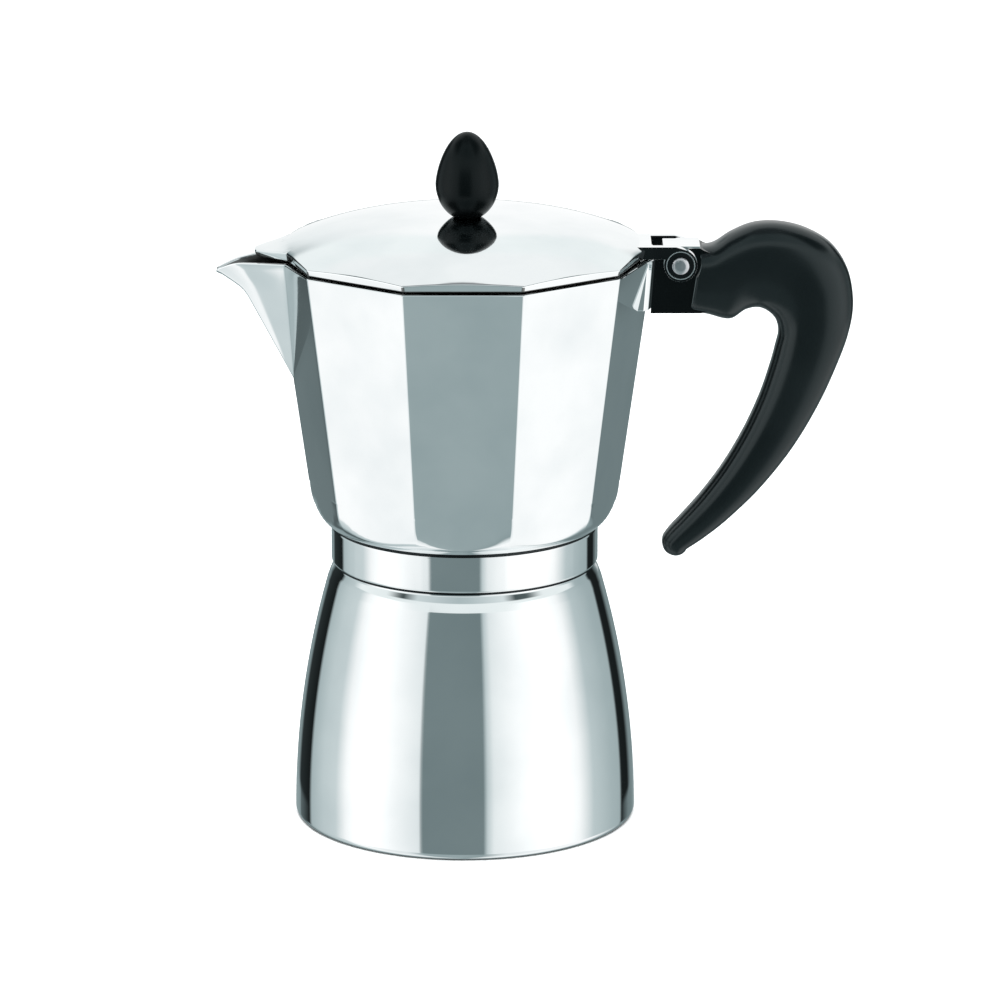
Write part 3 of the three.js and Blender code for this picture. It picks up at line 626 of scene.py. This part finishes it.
def upper_rows(bottom, top, kink, count):
    """Rows from the crease up to the rim. The spout's ridge runs through the kink instead of straight."""
    bottom, top = np.array(bottom), np.array(top)
    share = (kink[2] - bottom[-1][2]) / (top[-1][2] - bottom[-1][2])
    drift = np.array(kink) - (bottom[-1] + (top[-1] - bottom[-1]) * share)
    rows = []
    for u in np.linspace(0, 1, count + 1)[1:]:
        sharp = min(u / share, (1 - u) / (1 - share))
        soft = sharp - 0.105 * max(0, 1 - abs(u - share) / 0.09) ** 2
        half = bottom + (top - bottom) * u
        for index, weight in ((-1, 1.0), (-2, 0.95), (-3, 0.45)):
            half[index] += drift * soft * weight
        rows.append(list(half))
    return rows


def soft_least(a, b, k):
    """The lesser of two lengths, blended over k."""
    h = np.clip(0.5 + 0.5 * (b - a) / k, 0, 1)
    return b * (1 - h) + a * h - k * h * (1 - h)


def bowl_rows(heights, arc_r, inset):
    """Rings of the chamber, drawn in below to follow a round arc of radius arc_r."""
    rows = []
    for z in heights:
        ring = ring_of(plain_half(z, inset), REACHES)
        below_arc, above_arc = max(BOWL_ARC_Z - z, 0), max(z - BOWL_ARC_Z, 0)
        limit = BOWL_ARC_CENTRE_R + math.sqrt(max(arc_r ** 2 - below_arc ** 2, 0)) + above_arc
        radius = np.hypot(ring[:, 0], ring[:, 1])
        ring[:, :2] *= (soft_least(radius, limit, 0.35) / radius)[:, None]
        rows.append(ring)
    return rows


def between(first, second, count):
    """Rings from one half outline to another, with both ends."""
    first, second = np.array(first), np.array(second)
    return [ring_of(list(first + (second - first) * share), REACHES) for share in np.linspace(0, 1, count)]


def outside_rows():
    lower = bowl_rows(list(88.8 + 13.2 * np.linspace(0, 1, 56) ** 1.05), 14.5, 0)
    crease = crease_half(131)
    upper = upper_rows(crease, outer_top(), (-63.5, 0, 157.4), 34)
    return lower + between(plain_half(102), crease, 10)[1:] + [ring_of(half, REACHES) for half in upper]


def inside_rows():
    crease = crease_half(134.2, WALL)
    upper = upper_rows(crease, inner_top(), (-61.9, 0, 159.2), 26)
    rows = [ring_of(half, REACHES) for half in upper][::-1]
    rows += between(crease, plain_half(101.5, WALL), 8)
    rows += bowl_rows([101.2, 100.6, 100, 99.4], 12.4, WALL)
    last = rows[-1]
    rows += [np.column_stack([last[:, :2] * share, np.full(len(last), z)])
             for share, z in ((0.992, 98.8), (0.975, 98.25), (0.945, FLOOR_Z), (0.6, FLOOR_Z))]
    return rows


def collector_rows():
    """All rings of the chamber, up the outside and down the inside, and how many of them are outside."""
    outer, inner = outside_rows(), inside_rows()
    edge = outer[-1].copy()
    across = ring_of(inner_top(), REACHES) - edge
    outer[-1] = edge - (0, 0, 0.35)
    inner[0] = inner[0] - (0, 0, 0.35)
    rim = [edge + across * 0.06 - (0, 0, 0.12), edge + across * 0.2, edge + across * 0.8,
           edge + across * 0.94 - (0, 0, 0.12)]
    return outer + rim + inner, len(outer) + len(rim)


def collar_profile():
    """From the hole in the chamber's floor down the threaded bore, round the foot and up the outside."""
    foot = COLLAR_FOOT_Z
    hole = [(8.6, FLOOR_Z), (8.2, 97.6), (8.2, 95.7), (8.6, 95.3), (35.6, 95.3), (COLLAR_BORE_R, 94.7)]
    bore = [(COLLAR_BORE_R, z) for z in np.arange(93.5, 78.0, -0.25)]
    return hole + bore + [
        (COLLAR_BORE_R, foot + 0.4), (36.8, foot), (38.5, foot), (38.85, foot + 0.15), (COLLAR_R, foot + 0.5),
        (COLLAR_R, foot + 0.65), (COLLAR_R, 79), (COLLAR_R, 87.1), (COLLAR_R, 87.3), (38.9, 87.6), (38.6, 87.75),
        (38.2, 87.8), (38.2, 88.6),
    ]


def collector():
    rows, outside_count = collector_rows()
    chamber_count = len(rows)
    angles = np.arctan2(rows[10][:, 1], rows[10][:, 0])
    for r, z in collar_profile():
        threaded = 78.0 < z < 93.6 and r == COLLAR_BORE_R
        groove = [thread_ridge(a, z, 0.9, 1.1, 0.45) if threaded else 0 for a in angles]
        rows.append(np.array([((r + g) * math.cos(a), (r + g) * math.sin(a), z) for a, g in zip(angles, groove)]))
    shell = skin("collector_shell", rows, looped=True)
    placed(shell, "collector", "polished_aluminium", POLISHED, "collector")
    inside = range(outside_count * len(angles), chamber_count * len(angles))
    second_finish(shell, SEASONED, lambda face: face.index in inside)
    # Painted shade: a near-black ring at the joint of the collar and the chamber stands for the shade in that groove.
    painted_shade_ring = [(36.9, 87.6), (COLLAR_R, 87.75, 0.1), (COLLAR_R, 88.9, 0.1), (36.9, 88.9)]
    placed(turned("collar_painted_shade_ring", painted_shade_ring, segments=128, looped=True), "collector", "polished_aluminium", SHADOWED)


def boss_face(y, z, proud=BOSS_PROUD):
    """A point on the boss's folded face, which leans less than the walls around it."""
    corner_x = RIM_R - BOSS_LEAN * (RIM_Z - z) + proud / math.cos(HALF_SIDE)
    return np.array([corner_x - abs(y) * math.tan(HALF_SIDE), y, z])


def collector_boss():
    """The block that the handle is screwed to, folded along the chamber's corner."""
    rows = []
    for z, inset in ((BOSS_LOW_Z, 0.5), (BOSS_LOW_Z + 0.15, 0.15), (BOSS_LOW_Z + 0.5, 0), (BOSS_HIGH_Z - 0.5, 0),
                     (BOSS_HIGH_Z - 0.15, 0.15), (BOSS_HIGH_Z, 0.5)):
        face = [boss_face(y, z) - (inset, 0, 0) for y in (0, 4.3, 7.6)]
        side = BOSS_SIDE_Y - inset
        half = [*face, np.array([face[2][0] - 1.3, side, z]), np.array([49.5, side, z]), np.array([49.5, 0, z])]
        rows.append(ring_of(half, (0.4, 0, 0.2, 0.2, 0, 0), (2, 2, 2, 2, 2)))
    below, above = ([rows[i].mean(0)] * len(rows[i]) for i in (0, -1))
    boss = skin("collector_handle_boss", [below, *rows, above])
    placed(boss, "collector", "polished_aluminium", POLISHED)
    pad = edged(block("collector_screw_pad", (48.4, -5, SCREW_Z - 5), (53, 5, SCREW_Z + 5)), 0.6)
    placed(pad, "collector", "polished_aluminium", POLISHED)


# ---- lid ----

LID_OUTSIDE = ((52.2, 171.2), (54.9, 170.55), (60.6, 169.75), (70, 168.3))


def lid_top_z(x, y):
    """A shallow dome, flat under the knob and falling more slowly along the beak."""
    radius = np.hypot(x, y)
    dome = LID_APEX_Z - LID_DOME * np.clip(radius ** 3 - LID_LANDING_R ** 3, 0, None)
    at, height = zip(*LID_OUTSIDE)
    outside = sum(np.interp(radius + shift, at, height) for shift in (-1.0, -0.5, 0, 0.5, 1.0)) / 5
    return np.where(radius < at[0], dome, outside)


def lid_half(scale, inset, beak):
    """The lid's half outline: beak is 1 with the beak over the spout and 0 for the plain ten-sided form."""
    half = [corner(i, RIM_Z, inset) for i in (0, 1, 2, 3, 4)]
    plain = [beside_corner(-1, y, RIM_Z, inset) for y in (12.8, 3.0)]
    nose = [np.array([-50.9, 13.0, RIM_Z]), np.array([-60.5, 3.2, RIM_Z])]
    half += [p * (1 - beak) + q * beak for p, q in zip(plain, nose)]
    return [p * (scale, scale, 1) for p in half + [half[-1] * (1, 0, 1)]]


LID_REACHES = (0.5, 0.5, 0.5, 0.5, 0.5, 0.5, 1.6, 0)
LID_SIDES = (12, 12, 12, 12, 8, 10, 3)


def lid_ring(scale, inset=0.0, beak=1.0):
    return ring_of(lid_half(scale, inset, beak), LID_REACHES, LID_SIDES)


def at_height(ring, height):
    ring = np.array(ring)
    ring[:, 2] = height
    return ring


def lid_skirt(edge, inner):
    """Rings from the lid's rounded edge down to its foot and in to the wall's inner face."""
    top = lid_top_z(edge[:, 0], edge[:, 1])
    foot = LID_FOOT_Z + 0.35 - 0.6 * np.clip((-edge[:, 0] - 50) / 10, 0, 1)
    sides = ((0.997, top - 0.08), (0.9995, top - 0.22), (1.0, top - 0.45), (0.993, foot + 0.35), (0.990, foot + 0.1))
    rows = [at_height(edge * (share, share, 1), z) for share, z in sides]
    return rows + [at_height(edge * (0.988, 0.988, 1) * (1 - blend) + inner * blend, foot) for blend in (0.15, 0.9)]


def lid_shell():
    rows = []
    for scale in [0.0, 0.03, 0.06, 0.09, 0.12, *np.linspace(0.16, 0.992, 34)]:
        ring = lid_ring(scale)
        rows.append(at_height(ring, lid_top_z(ring[:, 0], ring[:, 1])))
    inner = lid_ring(1.0, LID_SHELL, 0.0)
    rows += lid_skirt(lid_ring(1.0), inner)
    for scale, drop in ((1.0, 3.0), (0.99, 2.2), *((scale, LID_SHELL) for scale in (0.97, 0.93, 0.85, 0.7, 0.5, 0.3)),
                        (0.14, 1.9), (0.08, 1.9), (0.0, 1.9)):
        ring = inner * (scale, scale, 1)
        underside = lid_top_z(ring[:, 0], ring[:, 1]) - drop
        rows.append(at_height(ring, np.maximum(underside, LID_FOOT_Z + 0.05)))
    dome = placed(skin("lid_dome", rows), "lid", "polished_aluminium", POLISHED, "lid")
    second_finish(dome, SEASONED, lambda face: face.normal.z < -0.3)


def pin_bore(radius):
    return turned("bore", [(0, -20), (radius, -20), (radius, 20), (0, 20)], (PIN_X, 0, PIN_Z), "Y", 32)


def hinge_arm():
    ear = [(SLOT_X - 2, LID_FOOT_Z), (SLOT_X - 2, ARM_TOP_Z), (PIN_X - 1.3, ARM_TOP_Z)]
    ear += arc(PIN_X, PIN_Z, EAR_R, 75, -202, 28)
    arm = block("lid_hinge_arm", (42, -EAR_OUTER_Y, LID_FOOT_Z + 0.05), (SLOT_X, EAR_OUTER_Y, ARM_TOP_Z))
    for low, high in ((-EAR_OUTER_Y, -EAR_INNER_Y), (EAR_INNER_Y, EAR_OUTER_Y)):
        plate = prism("ear", ear, low, high, "Y")
        combined(arm, plate, "UNION")
    combined(arm, pin_bore(PIN_BORE_R + 0.15), "DIFFERENCE")
    placed(edged(arm, 0.45, 3, 40), "lid", "polished_aluminium", POLISHED)
    # Painted reflection: the ears' flat side faces take the near-black finish for the dark reflection they show.
    second_finish(arm, SHADOWED, lambda face: abs(face.normal.y) > 0.9)
    for side in (-1, 1):
        rings = [(radius, side * (EAR_OUTER_Y + 0.02), 0.02) for radius in (3.9, 4.15)]
        rings += [(radius, side * (EAR_OUTER_Y - 0.1), 0.02) for radius in (4.15, 3.9)]
        lip = turned("ear_turned_line", rings, (PIN_X, 0, PIN_Z), "Y", 64, looped=True)
        placed(lip, "lid", "polished_aluminium", POLISHED)


def hinge_pin():
    half = [(1.6, 6), (1.6, 9.3), (2.6, 9.3, 0.2), (2.45, 10.0, 0.3), (1.5, 10.3, 0.3), (0, 10.3)]
    profile = [(p[0], -p[1], *p[2:]) for p in half[::-1]] + half
    rivet = turned("hinge_rivet", profile, (PIN_X, 0, PIN_Z), "Y", 48)
    placed(rivet, "collector", "steel_fixing", STEEL, "hinge_pin")


# ---- handle ----

# Stations along the handle from its shoulder to near its tip: a point on the inner edge, one on the outer edge.
STATIONS = (
    ((65.3, 151.7), (68.1, 170.55)), ((70.5, 150.6), (72.1, 171.3)), ((76.8, 149.2), (77.0, 174.5)),
    ((81.3, 151.9), (83.3, 177.1)), ((85.0, 152.6), (90.6, 177.5)), ((88.0, 151.3), (98.6, 175.6)),
    ((90.2, 148.8), (105.9, 171.2)), ((91.0, 144.9), (110.8, 163.8)), ((90.2, 141.0), (112.6, 154.5)),
    ((88.6, 134.8), (111.5, 145.3)), ((85.6, 125.6), (107.9, 134.8)), ((81.1, 115.4), (102.9, 123.4)),
    ((75.4, 105.3), (95.6, 110.6)), ((69.3, 96.7), (86.4, 98.6)), ((63.7, 90.1), (77.2, 89.3)),
    ((60.0, 86.0), (70.4, 83.7)), ((58.1, 83.4), (65.2, 80.1)),
)
GRIP_POWER = 2 / 2.7
TIP_ANGLES = (14, 28, 42, 56, 68, 78, 86, 90)


def smooth_through(points, steps):
    """Catmull-Rom points through the given ones."""
    points = np.asarray(points, float)
    padded = np.vstack([2 * points[0] - points[1], points, 2 * points[-1] - points[-2]])
    result = []
    for i in range(1, len(padded) - 2):
        a, b, c, d = padded[i - 1:i + 3]
        for t in np.linspace(0, 1, steps, endpoint=False):
            result.append(0.5 * (2 * b + (c - a) * t + (2 * a - 5 * b + 4 * c - d) * t ** 2
                                 + (3 * b - 3 * c + d - a) * t ** 3))
    return np.array(result + [points[-1]])


def handle_sections():
    """Inner edge, outer edge and half thickness along the handle, with a round end at the tip."""
    inner = smooth_through([s[0] for s in STATIONS], 7)
    outer = smooth_through([s[1] for s in STATIONS], 7)
    shares = np.linspace(0, 1, len(inner))
    thickness = 9.0 - 2.6 * np.clip((shares - 0.45) / 0.55, 0, 1) ** 1.4
    sections = list(zip(inner, outer, thickness))
    centre, across = (inner[-1] + outer[-1]) / 2, (inner[-1] - outer[-1]) / 2
    ahead = np.array([across[1], -across[0]])
    ahead = ahead if ahead[0] < 0 else -ahead
    for angle in np.radians(TIP_ANGLES):
        middle = centre + ahead * math.sin(angle)
        half = across * math.cos(angle)
        sections.append((middle + half, middle - half, thickness[-1] * math.cos(angle) ** 0.8))
    return sections


def rounded_section(low, high, half_thickness):
    """A ring between oval and oblong, across the handle."""
    middle, reach = (low + high) / 2, (high - low) / 2
    ring = []
    for t in np.linspace(0, 2 * math.pi, 56, endpoint=False):
        c, s = math.cos(t), math.sin(t)
        along = math.copysign(abs(c) ** GRIP_POWER, c)
        aside = math.copysign(abs(s) ** GRIP_POWER, s)
        ring.append((middle[0] + reach[0] * along, half_thickness * aside, middle[1] + reach[1] * along))
    return ring


def handle_grip():
    rows = np.array([rounded_section(*section) for section in handle_sections()])
    middle = rows[0].mean(0)
    cap = [middle + (rows[0] - middle) * share + (shift, 0, 0)
           for share, shift in ((0, 0), (0.5, 0), (0.93, 0), (0.975, 0.15), (0.995, 0.5))]
    rows = np.concatenate([cap, rows[1:]])
    profile = [(0, -12), (EAR_SWING_R, -12), (EAR_SWING_R, 12), (0, 12)]
    swing = turned("ear_clearance", profile, (PIN_X, 0, PIN_Z), "Y", 64)
    grip = combined(skin("handle_grip", rows), swing, "DIFFERENCE")
    placed(grip, "collector", "handle_plastic", HANDLE_PLASTIC, "handle")
    grip.visible_glossy = False


def handle_nose():
    """The block between the lid's ears, with its end cut to the boss's folded face."""
    outline = [(50.0, 151.7), (50.0, 167.6), (56.8, 167.6), (57.0, 170.2), (57.2, 170.9), (67.9, 170.9),
               (69.2, 170.2), (71, 169.5), (71, 152.5), (68.5, 151.7)]
    nose = prism("handle_nose", outline, -6, 6, "Y")
    inside = [[40, 12, 0], [40, -12, 0]]
    fold = [[boss_face(y, z, BOSS_PROUD + 0.25) for y in (-12, 0, 12)] + [np.add(p, (0, 0, z)) for p in inside]
            for z in (150, 167.59)]
    seat = skin("nose_seat", [[np.mean(fold[0], 0)] * 5, *fold, [np.mean(fold[1], 0)] * 5])
    combined(nose, seat, "DIFFERENCE")
    nose = edged(combined(nose, pin_bore(PIN_BORE_R), "DIFFERENCE"), 0.3, 3, 30)
    # Painted shade: the nose takes the darker knob plastic, a shaded copy of the handle's plastic, for the shade
    # between the lid's ears.
    placed(nose, "collector", "handle_plastic", KNOB_AND_SHADED_NOSE_PLASTIC)
    nose.visible_glossy = False
    plate = edged(block("handle_nose_plate", (57.3, -5.9, 170.8), (68, 5.9, 171.5)), 0.15, 2)
    placed(plate, "collector", "polished_aluminium", POLISHED)


# ---- knob and fixings ----

def knob():
    low, waist, above, below, radius = LID_APEX_Z + 0.02, 188.8, 15.1, 10.8, 9.15
    profile = [(0, low)]
    profile += [(radius * math.sqrt(1 - ((waist - z) / below) ** 2), z) for z in np.linspace(low, waist, 18)]
    for share in np.sin(np.linspace(0, math.pi / 2, 26))[1:]:
        profile.append((radius * math.sqrt(max(1 - share ** 1.5, 0)), waist + share * above))
    placed(turned("knob_egg", profile, (KNOB_X, 0, 0), segments=96), "lid", "knob_plastic", KNOB_AND_SHADED_NOSE_PLASTIC, "knob")


def knob_fixing():
    washer_z = low_mm("knob_washer", 2)
    seat = washer_z - 0.3
    screw = [(0, seat - 2), (2.5, seat - 2, 0.5), (3.6, seat - 1, 0.4), (3.6, seat, 0.2), (1.6, seat), (1.6, 187.5),
             (0, 187.5)]
    head = turned("knob_bolt", screw, (KNOB_X, 0, 0), segments=40)
    combined(head, block("slot", (-5, -0.4, seat - 4), (6, 0.4, seat - 1.1)), "DIFFERENCE")
    placed(head, "lid", "steel_fixing", STEEL, "knob_screw")
    washer = [(1.9, washer_z, 0.1), (5, washer_z, 0.2), (5, washer_z + 0.8, 0.2), (1.9, washer_z + 0.8, 0.1)]
    ring = turned("knob_bolt_washer", washer, (KNOB_X, 0, 0), segments=48, looped=True)
    placed(ring, "lid", "steel_fixing", STEEL, "knob_washer")
    cad_finish("knob_insert", BRASS)


def handle_fixing():
    head = low_mm("handle_screw", 0) + 2
    profile = [(0, head - 2), (2.4, head - 2, 0.4), (3.5, head - 1.1, 0.4), (3.5, head, 0.2), (1.9, head), (1.9, 62),
               (0, 62)]
    screw = turned("handle_bolt", profile, (0, 0, SCREW_Z), "X", 40)
    combined(screw, block("slot", (40, -0.4, SCREW_Z - 10), (head - 1.2, 0.4, SCREW_Z + 10)), "DIFFERENCE")
    placed(screw, "collector", "steel_fixing", STEEL, "handle_screw")
    screw.visible_glossy = False
    start, end = low_mm("handle_insert", 0), high_mm("handle_insert", 0)
    tube = [(1.9, start), (3.2, start, 0.2), (3.4, start + 0.4), (3.4, end - 0.4), (3.2, end, 0.2), (1.9, end)]
    insert = turned("handle_brass_insert", tube, (0, 0, SCREW_Z), "X", 48, looped=True)
    placed(insert, "collector", "brass_valve", BRASS, "handle_insert")
    insert.visible_glossy = False


# ---- stage, light and camera ----

CAMERA_LENS = 204.3
CAMERA_PLACE = (0.01035, -1.600, 0.534)
CAMERA_DIP = 15.37

def floor():
    outline = circle(0, 0, 6000, 96)
    obj = prism("floor", outline, -20, 0, "Z")
    finish = Finish("floor_paper", (0.9, 0.9, 0.9), 0.0, 0.9)
    finish.tints(finish.noise(3, 2.0), [(0.2, (0.90, 0.90, 0.90)), (0.8, (0.93, 0.93, 0.93))])
    obj.data.materials.append(finish.material)
    obj.visible_glossy = False


# Brightness of the studio by bearing, in degrees from the camera's side (left is negative). AROUND is level with
# the pot, BELOW and HIGH are under and over it, MIDDLE lies between BELOW and AROUND, and OUTLINE is AROUND with the
# dark far side that draws the pot's edges.
AROUND = (
    (-180, 1.05), (-168, 0.9), (-159, 0.3), (-152, 0.03), (-132, 0.012), (-128, 0.50), (-112, 0.64), (-98, 0.70),
    (-88, 1.05), (-70, 1.35), (-50, 1.1), (-31, 0.92), (-29, 0.245), (13, 0.235), (15, 0.62), (20, 0.9), (40, 1.12),
    (62, 1.35), (84, 1.05), (98, 0.62), (120, 0.48), (131, 0.45), (134, 0.014), (147, 0.012), (156, 0.26), (166, 1.0),
    (180, 1.05),
)
BELOW = (
    (-180, 0.36), (-158, 0.35), (-152, 0.30), (-149.5, 0.13), (-145, 0.11), (-141, 0.16), (-137, 0.34), (-120, 0.6),
    (-104, 0.66), (-91, 0.72), (-84, 1.05), (-75, 1.08), (-40, 0.9), (-29, 0.44), (-4, 0.42), (13, 0.36), (30, 0.9),
    (60, 1.1), (100, 1.05), (124, 0.6), (136, 0.35), (142, 0.30), (148, 0.22), (158, 0.24), (170, 0.36), (180, 0.36),
)
HIGH = (
    (-180, 0.97), (-116, 0.97), (-104, 0.12), (-62, 0.08), (-48, 0.75), (-6, 0.55), (8, 0.6), (40, 0.8), (52, 0.1),
    (98, 0.16), (112, 0.97), (180, 0.97),
)


def part_of(stops, low, high):
    return tuple(stop for stop in stops if low < stop[0] < high)


MIDDLE = part_of(BELOW, -181, -141) + part_of(AROUND, -135, 135) + part_of(BELOW, 147, 181)
OUTLINE = ((-180, 0.22), (-172, 0.28), *part_of(AROUND, -165, 160), (172, 0.28), (180, 0.22))

HAZE = (0.93, 0.97, 0.97, 1)
ZENITH = (0.25, 0.26, 0.27, 1)
PAPER_WHITE = (1.0, 1.0, 1.0, 1)


class Sky:
    """The world's nodes: brightness by the direction that a ray leaves in."""

    def __init__(self):
        world = bpy.data.worlds.new("studio")
        scene.world = world
        world.use_nodes = True
        self.nodes, self.links = world.node_tree.nodes, world.node_tree.links
        parts = self.nodes.new("ShaderNodeSeparateXYZ")
        self.links.new(self.nodes.new("ShaderNodeTexCoord").outputs["Generated"], parts.inputs["Vector"])
        bearing = self.math("ARCTAN2", parts.outputs["X"], self.math("MULTIPLY", parts.outputs["Y"], -1.0))
        self.share = self.math("ADD", self.math("DIVIDE", bearing, 2 * math.pi), 0.5)
        self.height = parts.outputs["Z"]

    def feed(self, socket, value):
        if isinstance(value, bpy.types.NodeSocket):
            self.links.new(value, socket)
        else:
            socket.default_value = value

    def math(self, operation, first, second):
        node = self.nodes.new("ShaderNodeMath")
        node.operation = operation
        self.feed(node.inputs[0], first)
        self.feed(node.inputs[1], second)
        return node.outputs["Value"]

    def bands(self, stops):
        """A level for each bearing, a little cooler where it is dark."""
        ramp = self.nodes.new("ShaderNodeValToRGB")
        elements = ramp.color_ramp.elements
        while len(elements) < len(stops):
            elements.new(0.5)
        for element, (degrees, level) in zip(elements, stops):
            element.position = degrees / 360 + 0.5
            cool = min(max(0.3 - 0.29 * level, 0), 0.22)
            element.color = (level * (1 - cool), level, level * (1 + 0.15 * cool), 1)
        self.links.new(self.share, ramp.inputs["Fac"])
        return ramp.outputs["Color"]

    def mixed(self, factor, first, second):
        mix = self.nodes.new("ShaderNodeMix")
        mix.data_type = "RGBA"
        self.links.new(factor, mix.inputs["Factor"])
        self.feed(mix.inputs["A"], first)
        self.feed(mix.inputs["B"], second)
        return mix.outputs["Result"]

    def above(self, low, high, lower, upper):
        """The upper colour above an elevation and the lower one below it; low and high are sines of elevations."""
        node = self.nodes.new("ShaderNodeMapRange")
        node.interpolation_type = "SMOOTHSTEP"
        node.inputs["From Min"].default_value = low
        node.inputs["From Max"].default_value = high
        self.links.new(self.height, node.inputs["Value"])
        return self.mixed(node.outputs["Result"], lower, upper)


def sine(degrees):
    return math.sin(math.radians(degrees))


def studio():
    sky = Sky()
    low = sky.above(sine(-21.5), sine(-20.5), sky.bands(BELOW), sky.bands(MIDDLE))
    around = sky.above(sine(-9), sine(-5), sky.bands(OUTLINE), sky.bands(AROUND))
    level = sky.above(sine(-17.5), sine(-16.9), low, around)
    bright = sky.above(0.34, 0.42, level, HAZE)
    high = sky.above(0.56, 0.64, bright, sky.bands(HIGH))
    whole = sky.above(0.90, 0.97, high, ZENITH)
    seen = sky.nodes.new("ShaderNodeLightPath").outputs["Is Camera Ray"]
    sky.links.new(sky.mixed(seen, whole, PAPER_WHITE), sky.nodes["Background"].inputs["Color"])
    sky.links.new(sky.nodes["Background"].outputs["Background"], sky.nodes["World Output"].inputs["Surface"])


def lamp(name, energy, size, location, target=(0, 0, 0.09)):
    data = bpy.data.lights.new(name, "AREA")
    data.energy = energy
    data.size = size
    obj = linked(name, data)
    obj.location = location
    obj.visible_glossy = False
    obj.rotation_mode = "QUATERNION"
    obj.rotation_quaternion = (Vector(target) - Vector(location)).to_track_quat("-Z", "Y")


def camera():
    data = bpy.data.cameras.new("camera")
    data.lens = CAMERA_LENS
    data.sensor_width = 36
    obj = linked("camera", data)
    obj.location = CAMERA_PLACE
    obj.rotation_euler = (math.radians(90 - CAMERA_DIP), 0, 0)
    scene.camera = obj


camera()
boiler()
safety_valve()
funnel()
seal()
riser_column()
collector()
collector_boss()
lid_shell()
hinge_arm()
hinge_pin()
handle_grip()
handle_nose()
knob()
knob_fixing()
handle_fixing()
floor()
studio()
lamp("overhead", 70, 1.6, (0, -0.1, 2.0))
scene.view_settings.view_transform = "Standard"
